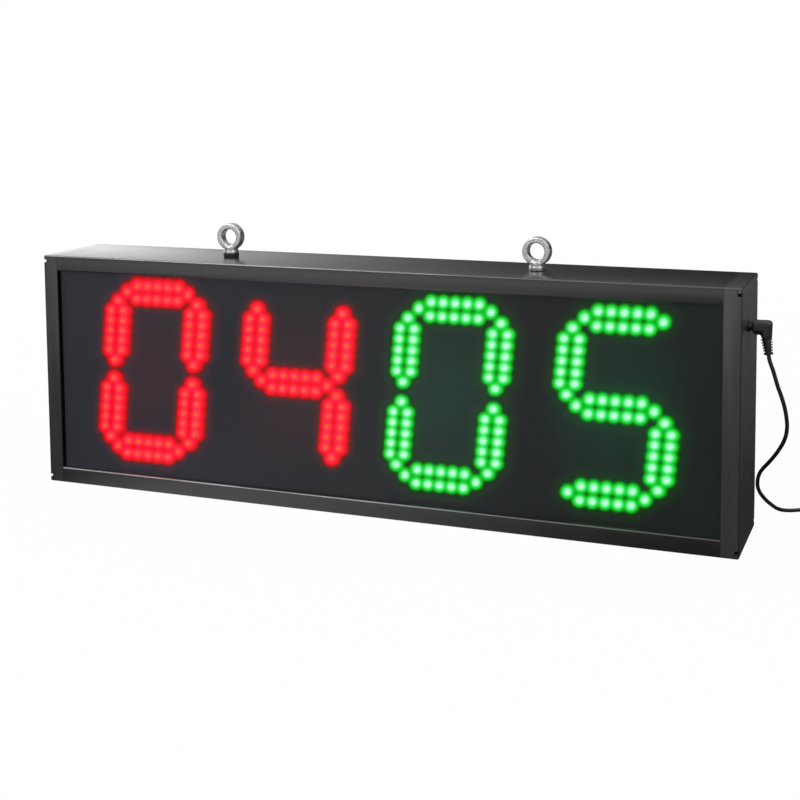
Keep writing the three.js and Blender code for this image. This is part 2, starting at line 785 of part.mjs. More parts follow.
// A boot, ribbed for flex, hangs below z = 0 and sinks its root into the moulding above
function boot(length, root, tip, groove, ribs) {
  const profile = [[0, groove]];
  profile.push([root, groove]);
  for (let k = 0; k < ribs; k += 1) {
    const radius = root + (tip - root) * ((k + 0.5) / ribs);
    profile.push([radius, -(k + bootCrestShare) * (length / ribs)]);
    profile.push([radius - groove, -(k + bootValleyShare) * (length / ribs)]);
  }
  profile.push([tip, -length], [0, -length]);
  return turned(profile.reverse(), 'z', 12);
}

const plugShell = prism(
  plugOutline(), 'y', jackY - plugThickness / 2, jackY + plugThickness / 2, plugEdge, 2);
const plugBoot = solid(boot(bootLength, bootRoot, bootTip, bootGroove, bootRibs)
  .rotateY(-bootLean)
  .translate(plugColumn, jackY, jackZ - plugDrop));
addPart('plug_body', plugShell.add(plugBoot), moulding);

const plugBore = jackPin + fit;
const plugSleeveShape = turned([
  [plugBore, -plugSleeveLength],
  [plugSleeve, -plugSleeveLength],
  [plugSleeve, 0],
  [plugBore, 0],
  [plugBore, -plugSleeveLength],
], 'x', 16);
addPart('plug_sleeve', solid(plugSleeveShape), nickel, [plugFace - fit, jackY, jackZ]);

// Free cord: from the boot it swings out and back round the case, lands behind it and runs to the coil
const cordRoute = [
  [409.9, -15, 192.5],
  [410.6, -15, 188.3],
  [412.2, -14.8, 183],
  [414, -14.3, 178],
  [415.8, -13.1, 171.4],
  [418.4, -11.3, 161.8],
  [421.8, -8.2, 150.8],
  [424.7, -4, 138.5],
  [426.2, 0, 126.5],
  [426.2, 4, 117.4],
  [423.9, 10, 105.9],
  [416.8, 21, 90.4],
  [405.4, 37, 72.5],
  [397.8, 49, 61.6],
  [393.2, 60, 52.4],
  [390.8, 68, 41.9],
  [391.2, 75, 32.3],
  [396.3, 84, 20.8],
  [402.3, 92, 12.7],
  [408.5, 101, 6],
  [417, 110, 2.6],
  [430, 118.5, 2.1],
  [446, 124.6, 2.5],
  [458, 127, 3],
  [465.5, 127.55, 3.3],
  [469.7, 127.58, 3.3],
];
const cordSides = 8;
const cordSteps = 44;

function throughPoints(points) {
  return new THREE.CatmullRomCurve3(points.map((p) => new THREE.Vector3(...p)), false, 'centripetal');
}

const cordTube = tubeAlong(throughPoints(cordRoute), cordRadius, cordSides, cordSteps);
addPart('power_cord', solid(cordTube), moulding);

// Coil: the spare cord in four flat spirals on top of each other, running in, out, in and out again.
// A tie goes under it, so its lowest turns lie one tie's thickness above the floor
const coilX = 474;
const coilY = 100;
const coilMeanRadius = 23.5;
const coilPitch = 4.5;
const coilRise = 4.5;
const coilLayers = 4;
const turnsPerLayer = 1.8125;
const climbTurns = 0.5;
const coilSteps = 24;
const coilSides = 6;
const tieThickness = 1;
const coilBase = tieThickness + fit + cordRadius;
const coilOuter = coilMeanRadius + (turnsPerLayer * coilPitch) / 2;
const coilTop = coilBase + (coilLayers - 1) * coilRise;

function coilPoints() {
  const lead = 2 * cordRadius;
  const total = coilLayers * turnsPerLayer;
  const count = Math.round(total * coilSteps);
  const points = [new THREE.Vector3(coilX - lead, coilY + coilOuter, coilBase)];
  for (let k = 0; k <= count; k += 1) {
    const turn = (k / count) * total;
    const layer = Math.min(coilLayers - 1, Math.floor(turn / turnsPerLayer));
    const along = turn - layer * turnsPerLayer;
    const inward = layer % 2 === 0 ? along : turnsPerLayer - along;
    const radius = coilOuter - inward * coilPitch;
    let climb = layer;
    for (let seam = 1; seam < coilLayers; seam += 1) {
      const past = turn - seam * turnsPerLayer;
      if (Math.abs(past) < climbTurns / 2) {
        climb = seam - 0.5 + 0.5 * Math.sin((past / climbTurns) * Math.PI);
      }
    }
    const angleAt = Math.PI / 2 - turn * 2 * Math.PI;
    points.push(new THREE.Vector3(
      coilX + radius * Math.cos(angleAt),
      coilY + radius * Math.sin(angleAt),
      coilBase + climb * coilRise));
  }
  points.push(points[points.length - 1].clone().add(new THREE.Vector3(0, -lead, 0)));
  return points;
}

// A tube of rings square to the path, one ring at each point, closed at both ends
function ringTube(points, radius, sides) {
  const positions = [];
  const index = [];
  points.forEach((point, k) => {
    const ahead = points[Math.min(k + 1, points.length - 1)];
    const behind = points[Math.max(k - 1, 0)];
    const along = ahead.clone().sub(behind).normalize();
    const across = along.clone().cross(unitZ).normalize();
    const up = across.clone().cross(along);
    for (let s = 0; s < sides; s += 1) {
      const turn = ((s + 0.5) * 2 * Math.PI) / sides;
      const spot = point.clone()
        .addScaledVector(across, radius * Math.cos(turn))
        .addScaledVector(up, radius * Math.sin(turn));
      positions.push(spot.x, spot.y, spot.z);
    }
  });
  for (let k = 0; k < points.length - 1; k += 1) {
    for (let s = 0; s < sides; s += 1) {
      const [a, b] = [k * sides + s, k * sides + ((s + 1) % sides)];
      index.push(a, a + sides, b, b, a + sides, b + sides);
    }
  }
  const last = (points.length - 1) * sides;
  for (let s = 1; s < sides - 1; s += 1) {
    index.push(0, s, s + 1, last, last + s + 1, last + s);
  }
  const geometry = new THREE.BufferGeometry();
  geometry.setAttribute('position', new THREE.Float32BufferAttribute(positions, 3));
  geometry.setIndex(index);
  return geometry;
}

function leastSelfGap(points, radius, skip) {
  let least = Infinity;
  points.forEach((p, i) => {
    for (let j = i + skip; j < points.length; j += 1) {
      least = Math.min(least, p.distanceTo(points[j]));
    }
  });
  return least - 2 * radius;
}

const coilPath = coilPoints();
const coilGap = leastSelfGap(coilPath, cordRadius, coilSteps / 2);
const coilLength = coilPath.slice(1).reduce((sum, p, k) => sum + p.distanceTo(coilPath[k]), 0);
console.log(`cord_coil: least gap to itself ${coilGap.toFixed(2)} mm, ${coilLength.toFixed(0)} mm long`);
addPart('cord_coil', solid(ringTube(coilPath, cordRadius, coilSides)), moulding);

// The tie is a closed strap round the bundle of turns, on the side nearest the adapter
const tieWidth = 6;
const tieInner = coilMeanRadius - (turnsPerLayer * coilPitch) / 2 - cordRadius - fit;
const tieOuter = coilOuter + cordRadius + fit;
const tieCorner = 2.5;
const tieShape = roundedRectangle(
  coilY - tieOuter - tieThickness, coilY - tieInner + tieThickness,
  0, coilTop + cordRadius + fit + tieThickness, tieCorner);
const tieHole = roundedRectangle(
  coilY - tieOuter, coilY - tieInner, tieThickness, coilTop + cordRadius + fit, tieCorner - tieThickness);
tieShape.holes.push(new THREE.Path(tieHole.getPoints(2)));
addPart('cord_tie', prism(tieShape, 'x', coilX - tieWidth / 2, coilX + tieWidth / 2), moulding);

// Wall adapter: lies on its back beside the coil, blades up, with its boot towards the coil
const adapterWidth = 40;
const adapterLength = 66;
const adapterHeight = 28;
const adapterEdge = 3;
const adapterCorner = 6;
const adapterBoot = 14;
const adapterBootRoot = 4.6;
const adapterBootGap = 44;
const adapterX = coilX + coilOuter;
const adapterFace = coilY - adapterBootGap - adapterBoot;
const bladeWidth = 6.3;
const bladeThickness = 1.5;
const bladeLength = 16;
const bladeSpread = 6.35;
const bladeSetback = 20;

const adapterShell = prism(
  roundedRectangle(adapterX - adapterWidth / 2, adapterX + adapterWidth / 2,
    adapterFace - adapterLength, adapterFace, adapterCorner),
  'z', 0, adapterHeight, adapterEdge, 1);
const adapterRelief = solid(boot(adapterBoot, adapterBootRoot, bootTip, bootGroove, bootRibs)
  .rotateX(Math.PI / 2)
  .translate(adapterX, adapterFace, adapterHeight / 2));
addPart('adapter_body', adapterShell.add(adapterRelief), moulding);
[['left', -bladeSpread], ['right', bladeSpread]].forEach(([where, x]) => {
  const y = adapterFace - adapterLength + bladeSetback;
  addPart(`adapter_blade_${where}`, box(
    adapterX + x - bladeThickness / 2, adapterX + x + bladeThickness / 2,
    y - bladeWidth / 2, y + bladeWidth / 2,
    adapterHeight + fit, adapterHeight + fit + bladeLength), nickel);
});

// The last free stretch sags from the coil to the adapter's boot
const tailRoute = [
  [501.58, 95.7, 16.8],
  [501.58, 91, 16.4],
  [501.58, 85, 14.6],
  [501.58, 79, 12.4],
  [501.58, 73, 11.3],
  [501.58, 67, 11.7],
  [501.58, 61, 13.4],
  [501.58, 56.3, 14],
];
const tailSteps = 8;
const tailTube = tubeAlong(throughPoints(tailRoute), cordRadius, cordSides, tailSteps);
addPart('adapter_cord', solid(tailTube), moulding);
const freeLength = throughPoints(cordRoute).getLength();
const tailLength = throughPoints(tailRoute).getLength();
console.log(`cord: ${freeLength.toFixed(0)} mm to the coil, ${tailLength.toFixed(0)} mm on to the adapter`);

export default scoreboard;
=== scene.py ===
import math

import bmesh
import bpy
from mathutils import Matrix, Vector


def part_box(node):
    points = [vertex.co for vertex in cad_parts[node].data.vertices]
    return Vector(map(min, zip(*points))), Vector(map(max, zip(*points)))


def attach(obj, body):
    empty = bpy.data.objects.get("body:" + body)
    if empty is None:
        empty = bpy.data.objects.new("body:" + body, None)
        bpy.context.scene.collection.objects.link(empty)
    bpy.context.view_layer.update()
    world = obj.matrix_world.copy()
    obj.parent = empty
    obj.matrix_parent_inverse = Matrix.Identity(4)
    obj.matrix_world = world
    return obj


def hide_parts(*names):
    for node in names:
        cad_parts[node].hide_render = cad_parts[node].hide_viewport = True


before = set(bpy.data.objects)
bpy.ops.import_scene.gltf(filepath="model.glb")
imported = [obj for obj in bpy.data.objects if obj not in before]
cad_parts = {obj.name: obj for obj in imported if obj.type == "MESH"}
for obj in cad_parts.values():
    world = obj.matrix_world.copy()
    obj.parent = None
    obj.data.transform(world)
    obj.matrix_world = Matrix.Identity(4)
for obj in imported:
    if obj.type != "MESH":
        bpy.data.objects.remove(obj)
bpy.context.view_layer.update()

# Camera
# It stands to the right of the scoreboard and a little above its top edge, about 1.5 m away. The
# optical centre lies high in the picture, so the view is shifted down. Lengths are metres.
picture_width = 800
focal_length_pixels = 1425.4
optical_centre_from_top = 200
camera_sensor_mm = 36
camera_place = Vector((0.5754, -1.4021, 0.4708))
camera_azimuth = math.radians(21.461)
camera_elevation = math.radians(5.312)
camera_roll = math.radians(-0.473)


def new_object(name, data):
    """An object in the scene."""
    thing = bpy.data.objects.new(name, data)
    bpy.context.scene.collection.objects.link(thing)
    return thing


camera = new_object("camera", bpy.data.cameras.new("camera"))
camera.matrix_world = (
    Matrix.Translation(camera_place) @ Matrix.Rotation(camera_azimuth, 4, "Z")
    @ Matrix.Rotation(math.pi / 2 - camera_elevation, 4, "X") @ Matrix.Rotation(camera_roll, 4, "Z"))
camera.data.sensor_width = camera_sensor_mm
camera.data.lens = focal_length_pixels / picture_width * camera_sensor_mm
camera.data.shift_y = optical_centre_from_top / picture_width - 0.5
camera.data.clip_start = 0.05
bpy.context.scene.camera = camera

# Supply cord
# A round black vinyl lead, 4 mm thick, from the boot of the right-angle plug to the wall adapter. It
# swings out and back round the case, lands behind it, and its spare length lies in a tied coil.
cord_radius = 0.002
free_route = [
    (0.4099, -0.0150, 0.1925), (0.4106, -0.0150, 0.1883), (0.4122, -0.0148, 0.1830),
    (0.4140, -0.0143, 0.1780), (0.4158, -0.0131, 0.1714), (0.4184, -0.0113, 0.1618),
    (0.4218, -0.0082, 0.1508), (0.4247, -0.0040, 0.1385), (0.4262, 0.0000, 0.1265),
    (0.4262, 0.0040, 0.1174), (0.4239, 0.0100, 0.1059), (0.4168, 0.0210, 0.0904),
    (0.4054, 0.0370, 0.0725), (0.3978, 0.0490, 0.0616), (0.3932, 0.0600, 0.0524),
    (0.3908, 0.0680, 0.0419), (0.3912, 0.0750, 0.0323), (0.3963, 0.0840, 0.0208),
    (0.4023, 0.0920, 0.0127), (0.4085, 0.1010, 0.0060), (0.4170, 0.1100, 0.0026),
    (0.4300, 0.1185, 0.0021), (0.4460, 0.1246, 0.0025), (0.4580, 0.1270, 0.0030),
    (0.4655, 0.12755, 0.0033),
]
tail_route = [
    (0.50158, 0.0910, 0.0164), (0.50158, 0.0850, 0.0146), (0.50158, 0.0790, 0.0124),
    (0.50158, 0.0730, 0.0113), (0.50158, 0.0670, 0.0117), (0.50158, 0.0610, 0.0134),
    (0.50158, 0.0563, 0.0140), (0.50158, 0.0500, 0.0140), (0.50158, 0.0440, 0.0140),
]
coil_centre = Vector((0.474, 0.100, 0.0033))
coil_mean_radius = 0.0235
coil_pitch = 0.0045
coil_layers = 4
turns_per_layer = 1.8125
climb_turns = 0.5
coil_steps = 24


def coil_route():
    """Points of the coil: flat spirals on top of each other, inwards and outwards in turn."""
    turns = coil_layers * turns_per_layer
    outer = coil_mean_radius + turns_per_layer * coil_pitch / 2
    count = round(turns * coil_steps)
    points = []
    for k in range(count + 1):
        turned = k / count * turns
        layer = min(coil_layers - 1, int(turned / turns_per_layer))
        along = turned - layer * turns_per_layer
        inward = along if layer % 2 == 0 else turns_per_layer - along
        climb = layer
        for seam in range(1, coil_layers):
            past = turned - seam * turns_per_layer
            if abs(past) < climb_turns / 2:
                climb = seam - 0.5 + 0.5 * math.sin(past / climb_turns * math.pi)
        angle = math.pi / 2 - turned * 2 * math.pi
        reach = outer - inward * coil_pitch
        points.append(coil_centre + Vector((
            reach * math.cos(angle), reach * math.sin(angle), climb * coil_pitch)))
    return points


def new_material(name, colour, roughness, metallic=0.0, gloss=0.5):
    """A material with a plain shader."""
    material = bpy.data.materials.new(name)
    material.use_nodes = True
    shader = material.node_tree.nodes["Principled BSDF"]
    for socket, value in (("Base Color", (*colour, 1)), ("Roughness", roughness),
                          ("Metallic", metallic), ("Specular IOR Level", gloss)):
        shader.inputs[socket].default_value = value
    return material, shader


def add_node(tree, kind, inputs=(), **settings):
    """A node of that kind. inputs pairs a socket's name or number with a value or another socket."""
    node = tree.nodes.new("ShaderNode" + kind)
    for key, value in settings.items():
        setattr(node, key, value)
    for key, value in inputs:
        if isinstance(value, bpy.types.NodeSocket):
            tree.links.new(value, node.inputs[key])
        else:
            node.inputs[key].default_value = value
    return node


def object_place(tree):
    """The object's own place, for a pattern that stays on it."""
    return add_node(tree, "TexCoord").outputs["Object"]


def blended(tree, share, first, second, way="MIX"):
    """Two colours or colour outputs, mixed by a share."""
    first, second = (c if isinstance(c, bpy.types.NodeSocket) else (*c, 1) for c in (first, second))
    return add_node(tree, "Mix", data_type="RGBA", blend_type=way, inputs=(
        ("Factor", share), (6, first), (7, second))).outputs[2]


def remapped(tree, value, low, high, to_low=0.0, to_high=1.0):
    """A value carried from one range to another and held inside it."""
    return add_node(tree, "MapRange", inputs=(
        ("Value", value), ("From Min", low), ("From Max", high),
        ("To Min", to_low), ("To Max", to_high))).outputs["Result"]


def node_group(name, takes, gives):
    """A shader group with these number sockets, what it is given, and what it puts out."""
    group = bpy.data.node_groups.new(name, "ShaderNodeTree")
    for sockets, way in ((takes, "INPUT"), (gives, "OUTPUT")):
        for socket in sockets:
            group.interface.new_socket(socket, in_out=way, socket_type="NodeSocketFloat")
    return group, group.nodes.new("NodeGroupInput").outputs, group.nodes.new("NodeGroupOutput").inputs


def surface_grain():
    """A node group: a slow mottle and a fine height, from two noises on the object's own place."""
    group, given, result = node_group("surface_grain", ("Mottle Scale", "Grain Scale"), ("Mottle", "Height"))
    place = object_place(group)
    for scale, name, detail in (("Mottle Scale", "Mottle", 3.0), ("Grain Scale", "Height", 2.0)):
        noise = add_node(group, "TexNoise", inputs=(
            ("Vector", place), ("Scale", given[scale]), ("Detail", detail)))
        group.links.new(noise.outputs["Fac"], result[name])
    return group


grain = surface_grain()


def grained(name, light, dark, rough, mottle_scale, grain_scale, depth, metallic=0.0, gloss=0.5):
    """A material with a mottle between two colours and two roughnesses, and a fine bump."""
    material, shader = new_material(name, light, rough[0], metallic, gloss)
    tree = material.node_tree
    speckle = add_node(tree, "Group", node_tree=grain, inputs=(
        ("Mottle Scale", mottle_scale), ("Grain Scale", grain_scale))).outputs
    tone = blended(tree, speckle["Mottle"], dark, light)
    bump = add_node(tree, "Bump", inputs=(
        ("Height", speckle["Height"]), ("Strength", 0.6), ("Distance", depth)))
    for source, socket in ((tone, "Base Color"), (bump.outputs["Normal"], "Normal"),
                           (remapped(tree, speckle["Mottle"], 0.0, 1.0, *rough), "Roughness")):
        tree.links.new(source, shader.inputs[socket])
    return material, shader, tone


cord_vinyl = grained("cord_vinyl", (0.018, 0.018, 0.019), (0.007, 0.007, 0.008), (0.32, 0.5),
                     90, 1500, 0.00004)[0]
cord_points = [Vector(p) for p in free_route] + coil_route() + [Vector(p) for p in tail_route]
cord_line = bpy.data.curves.new("supply_cord", "CURVE")
cord_line.dimensions = "3D"
cord_line.bevel_depth = cord_radius
cord_line.bevel_resolution = 5
cord_line.resolution_u = 5
cord_line.use_fill_caps = True
cord_spline = cord_line.splines.new("BEZIER")
cord_spline.bezier_points.add(len(cord_points) - 1)
for knot, point in zip(cord_spline.bezier_points, cord_points):
    knot.co = point
    knot.handle_left_type = knot.handle_right_type = "AUTO"
cord_line.materials.append(cord_vinyl)
supply_cord = new_object("supply_cord", cord_line)
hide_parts("power_cord", "cord_coil", "adapter_cord")
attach(supply_cord, "supply_plug")

# Cord tie
# A soft black strap, 6 mm wide, closed round the bundle of turns on the side of the adapter. Its free
# end laps over the top.
strap_thickness = 0.001
strap_corner = 0.0032


def box_of(node):
    """The lowest and the highest corner of a node's box."""
    return (Vector(p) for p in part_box(node))


def merged(shape):
    """Joins what touches and faces it outwards."""
    bmesh.ops.remove_doubles(shape, verts=shape.verts, dist=1e-6)
    bmesh.ops.recalc_face_normals(shape, faces=shape.faces)
    return shape


def meshed(shape, name):
    """An object with a shape's mesh."""
    mesh = bpy.data.meshes.new(name)
    shape.to_mesh(mesh)
    shape.free()
    return new_object(name, mesh)


def piece_of(shape, name, material, crease=35):
    """A finished piece from a bmesh, smooth but for its creases."""
    piece = meshed(merged(shape), name)
    piece.data.shade_smooth()
    piece.data.set_sharp_from_angle(angle=math.radians(crease))
    piece.data.materials.append(material)
    return piece


def fitted(shape, name, material, node, body, crease=35):
    """A finished piece in a node's place, on the body that it moves with."""
    piece = piece_of(shape, name, material, crease)
    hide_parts(node)
    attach(piece, body)
    return piece


def outline(shape, points, closed=False):
    """Joins the points in a row by edges."""
    corners = [shape.verts.new(p) for p in points]
    ends = corners[1:] + corners[:1] if closed else corners[1:]
    return corners, [shape.edges.new(pair) for pair in zip(corners, ends)]


def rounded(shape, geom, radius, segments, affect="EDGES"):
    """Rounds edges, or the corners of an outline."""
    bmesh.ops.bevel(shape, geom=geom, offset=radius, segments=segments, profile=0.5,
                    affect=affect, material=-1)


def drawn(shape, made, way):
    """Moves what an extrusion has made."""
    bmesh.ops.translate(shape, vec=way, verts=[v for v in made["geom"] if isinstance(v, bmesh.types.BMVert)])


def moulded_plastic(name, roughness, light, dark, gloss=0.5):
    """Black moulded plastic with a fine spark-eroded grain."""
    return grained(name, (light,) * 3, (dark,) * 3, (roughness - 0.06, roughness + 0.08),
                   140, 2600, 0.00005, gloss=gloss)[0]


black_moulding = moulded_plastic("black_moulding", 0.36, 0.025, 0.013)
tie_low, tie_high = box_of("cord_tie")


def strap():
    shape = bmesh.new()
    inset = strap_thickness / 2
    y0, y1, z0, z1 = tie_low.y + inset, tie_high.y - inset, tie_low.z + inset, tie_high.z - inset
    corners = outline(shape, [
        (tie_low.x, y, z) for y, z in ((y0, z1), (y0, z0), (y1, z0), (y1, z1))], True)[0]
    rounded(shape, corners, strap_corner, 5, "VERTICES")
    drawn(shape, bmesh.ops.extrude_edge_only(shape, edges=shape.edges), (tie_high.x - tie_low.x, 0, 0))
    bmesh.ops.recalc_face_normals(shape, faces=shape.faces)
    bmesh.ops.solidify(shape, geom=shape.faces, thickness=strap_thickness)
    return shape


cord_tie = fitted(strap(), "cord_tie_strap", black_moulding, "cord_tie", "supply_plug")

# Wall adapter
# Two half shells of black plastic welded along a seam, with a ribbed boot for the cord on one end and
# two nickel-plated blades that stand up from a raised face.
adapter_corner = 0.006
adapter_edge = 0.003
adapter_seam = 0.0006
adapter_seam_depth = 0.0005
adapter_margin = 0.004
adapter_step = 0.0006
boot_ribs = 6
boot_groove = 0.0014
boot_tip_radius = 0.0044
blade_hole_radius = 0.0016
blade_tip_chamfer = 0.0012
blade_hole_drop = 0.24
adapter_low, adapter_high = box_of("adapter_body")
adapter_boot_length = 0.014
adapter_boot_root = 0.0046


def spun(profile, steps=32):
    """A turned shape round Z from (radius, height) pairs."""
    shape = bmesh.new()
    corners, edges = outline(shape, [(r, 0, h) for r, h in profile])
    bmesh.ops.spin(shape, geom=corners + edges, cent=(0, 0, 0), axis=(0, 0, 1),
                   angle=2 * math.pi, steps=steps, use_merge=True)
    return merged(shape)


def boot_profile(length, root, tip):
    """Six ribs that shrink from the root to a broad last one, hanging below height 0."""
    step = length / (boot_ribs + 0.3)
    points = [(0, boot_groove), (root - boot_groove, boot_groove)]
    for k in range(boot_ribs):
        crest = root + (tip - root) * (k + 0.5) / boot_ribs
        last = k == boot_ribs - 1
        for share, radius in ((0.02, crest - boot_groove), (0.44, crest - boot_groove),
                              (0.56, crest), (1.2 if last else 0.9, crest)):
            points.append((radius, -(k + share) * step))
    return points + [(tip - 0.3 * boot_groove, -length), (0, -length)]


def moved(shape, matrix):
    bmesh.ops.transform(shape, matrix=matrix, verts=shape.verts)
    return shape


def added(shape, other):
    """Adds another shape's faces to the first."""
    carrier = bpy.data.meshes.new("carrier")
    other.to_mesh(carrier)
    other.free()
    shape.from_mesh(carrier)
    bpy.data.meshes.remove(carrier)
    return shape


def quarter_turn(axis, way=1):
    return Matrix.Rotation(way * math.pi / 2, 4, axis)


def block(shape, low, high):
    """A box between two corners."""
    size = [abs(a - b) for a, b in zip(low, high)]
    bmesh.ops.create_cube(shape, size=1, matrix=Matrix.Translation((Vector(low) + Vector(high)) / 2)
                          @ Matrix.Diagonal((*size, 1)))


def edges_along(shape, axis, along=True):
    """The edges of a squared block that run along an axis, or those that lie square to it."""
    return [e for e in shape.edges if (abs((e.verts[0].co - e.verts[1].co)[axis]) > 1e-6) == along]


def adapter_shell():
    """Both half shells with the seam between them, the raised face and the cord's boot."""
    shape = bmesh.new()
    end = adapter_high.y - adapter_boot_length
    middle = adapter_high.z / 2
    block(shape, (adapter_low.x, adapter_low.y, 0), (adapter_high.x, end, adapter_high.z))
    rounded(shape, edges_along(shape, 2), adapter_corner, 6)
    rounded(shape, edges_along(shape, 2, False), adapter_edge, 4)
    for height in (middle - adapter_seam / 2, middle + adapter_seam / 2):
        bmesh.ops.bisect_plane(shape, geom=shape.verts[:] + shape.edges[:] + shape.faces[:],
                               plane_co=(0, 0, height), plane_no=(0, 0, 1))
    seam = [f for f in shape.faces if abs(f.calc_center_median().z - middle) < adapter_seam / 4]
    bmesh.ops.inset_region(shape, faces=seam, thickness=adapter_seam / 5, depth=-adapter_seam_depth)
    top = max(shape.faces, key=lambda f: f.calc_center_median().z)
    for margin, step in ((adapter_margin, 0), (adapter_step, adapter_step)):
        bmesh.ops.inset_region(shape, faces=[top], thickness=margin, depth=-step)
    boot = spun(boot_profile(adapter_boot_length, adapter_boot_root, boot_tip_radius))
    return added(shape, moved(boot, Matrix.Translation((
        (adapter_high.x + adapter_low.x) / 2, end, middle)) @ quarter_turn("X")))


nickel_plate = grained("nickel_plate", (0.72, 0.71, 0.68), (0.52, 0.51, 0.48), (0.15, 0.32),
                       260, 1400, 0.00003, 1.0)[0]
adapter_case = fitted(adapter_shell(), "adapter_case", black_moulding, "adapter_body", "supply_plug",
                      30)


def blade(low, high):
    """A flat blade with a round hole and a tapered tip, cut from strip."""
    shape = bmesh.new()
    corners, edges = outline(shape, [
        (low.x, low.y, low.z), (low.x, low.y, high.z - blade_tip_chamfer),
        (low.x, low.y + blade_tip_chamfer, high.z), (low.x, high.y - blade_tip_chamfer, high.z),
        (low.x, high.y, high.z - blade_tip_chamfer), (low.x, high.y, low.z)], True)
    hole = Vector((low.x, (low.y + high.y) / 2, high.z - (high.z - low.z) * blade_hole_drop))
    ring = bmesh.ops.create_circle(shape, segments=20, radius=blade_hole_radius,
                                   matrix=Matrix.Translation(hole) @ quarter_turn("Y"))
    rim = list({e for v in ring["verts"] for e in v.link_edges})
    bmesh.ops.triangle_fill(shape, edges=edges + rim, use_beauty=True)
    drawn(shape, bmesh.ops.extrude_face_region(shape, geom=shape.faces[:]), (high.x - low.x, 0, 0))
    return shape


for where in ("left", "right"):
    blade_low, blade_high = box_of(f"adapter_blade_{where}")
    blade_low.z -= adapter_step
    fitted(
        blade(blade_low, blade_high), f"adapter_blade_{where}_plate", nickel_plate,
        f"adapter_blade_{where}", "supply_plug")

# Right-angle plug
# One glossy black moulding: a barrel on a neck that comes out of the jack, an upright column with a
# rounded top corner and a ribbed boot below it, round a nickel sleeve with an insulated bore.
plug_length = 0.0206
plug_thickness = 0.0114
plug_round = 0.0042
plug_crown = 0.0066
plug_belly = 0.0077
plug_neck_length = 0.0024
plug_neck = 0.0044
plug_chamfer = 0.0028
plug_taper = 0.93
plug_skin = 0.00035
plug_crown_round = 0.00378
plug_belly_slope = (-0.8, 0, -0.6)
plug_top = 0.0074
plug_drop = 0.0105
plug_boot_length = 0.0164
plug_boot_root = 0.0057
plug_boot_flatness = 0.7
plug_boot_lean = math.radians(8.3)
plug_low, plug_high = box_of("plug_body")
jack_centre = Vector((plug_low.x, (plug_low.y + plug_high.y) / 2, plug_high.z - plug_top))


def with_modifiers(thing):
    """What an object's modifiers make of it, as a bmesh. The object goes."""
    shape = bmesh.new()
    shape.from_object(thing, bpy.context.evaluated_depsgraph_get())
    bpy.data.objects.remove(thing)
    return shape


def one_skin(shape, voxel, relaxing):
    """Shapes that cross each other become one skin, with small fillets where they meet."""
    rough = meshed(merged(shape), "rough")
    skin = rough.modifiers.new("skin", "REMESH")
    skin.mode = "VOXEL"
    skin.voxel_size = voxel
    rough.modifiers.new("relax", "SMOOTH").iterations = relaxing
    return with_modifiers(rough)


def sliced(shape, place, way):
    """The shape without what lies beyond a plane, closed again."""
    cut = bmesh.ops.bisect_plane(shape, geom=shape.verts[:] + shape.edges[:] + shape.faces[:],
                                 plane_co=place, plane_no=way, clear_outer=True)
    bmesh.ops.edgeloop_fill(shape, edges=[e for e in cut["geom_cut"] if isinstance(e, bmesh.types.BMEdge)])
    return shape


def rounded_bar(length, height):
    """A bar along X from 0, as thick as the plug, with its four long edges rounded."""
    shape = bmesh.new()
    block(shape, (0, -plug_thickness / 2, -height / 2), (length, plug_thickness / 2, height / 2))
    rounded(shape, edges_along(shape, 0), plug_round, 6)
    return shape


def plug_moulding():
    """Column, barrel and neck in one skin, and the boot that leans out below."""
    half = plug_thickness / 2
    reach = plug_length - half
    centre = Vector((plug_low.x + reach, jack_centre.y, jack_centre.z))
    bottom = centre - Vector((0, 0, plug_drop))
    column = rounded_bar(plug_crown + plug_drop, plug_thickness)
    crown = max(column.faces, key=lambda f: f.calc_center_median().x)
    rounded(column, list(crown.edges), plug_crown_round, 6)
    bmesh.ops.scale(column, vec=(1, 1, plug_taper), verts=[v for v in column.verts if v.co.x < plug_drop])
    moved(column, Matrix.Translation(bottom) @ quarter_turn("Y", -1))
    sliced(column, centre - Vector((half, 0, plug_belly)), plug_belly_slope)
    height = plug_crown + plug_belly
    barrel = rounded_bar(reach - plug_neck_length, height)
    sliced(barrel, (plug_chamfer, 0, -height / 2), (-1, 0, -1))
    moved(barrel, Matrix.Translation((
        plug_low.x + plug_neck_length, centre.y, centre.z + (plug_crown - plug_belly) / 2)))
    neck = moved(spun([(0, 0), (plug_neck, 0), (plug_neck, half), (0, half)]),
                 Matrix.Translation(jack_centre) @ quarter_turn("Y"))
    boot = spun(boot_profile(plug_boot_length, plug_boot_root, boot_tip_radius))
    moved(boot, Matrix.Translation(bottom) @ Matrix.Rotation(-plug_boot_lean, 4, "Y")
          @ Matrix.Diagonal((1, plug_boot_flatness, 1, 1)))
    return added(one_skin(added(added(column, barrel), neck), plug_skin, 5), boot)


glossy_moulding = moulded_plastic("glossy_moulding", 0.22, 0.006, 0.003, 0.8)
plug_body = fitted(plug_moulding(), "plug_moulding", glossy_moulding, "plug_body", "supply_plug",
                   40)

sleeve_low, sleeve_high = box_of("plug_sleeve")
sleeve_radius = (sleeve_high.z - sleeve_low.z) / 2
sleeve_bore = 0.0013
sleeve_lip = 0.0004
sleeve_length = sleeve_high.x - sleeve_low.x + 0.0005


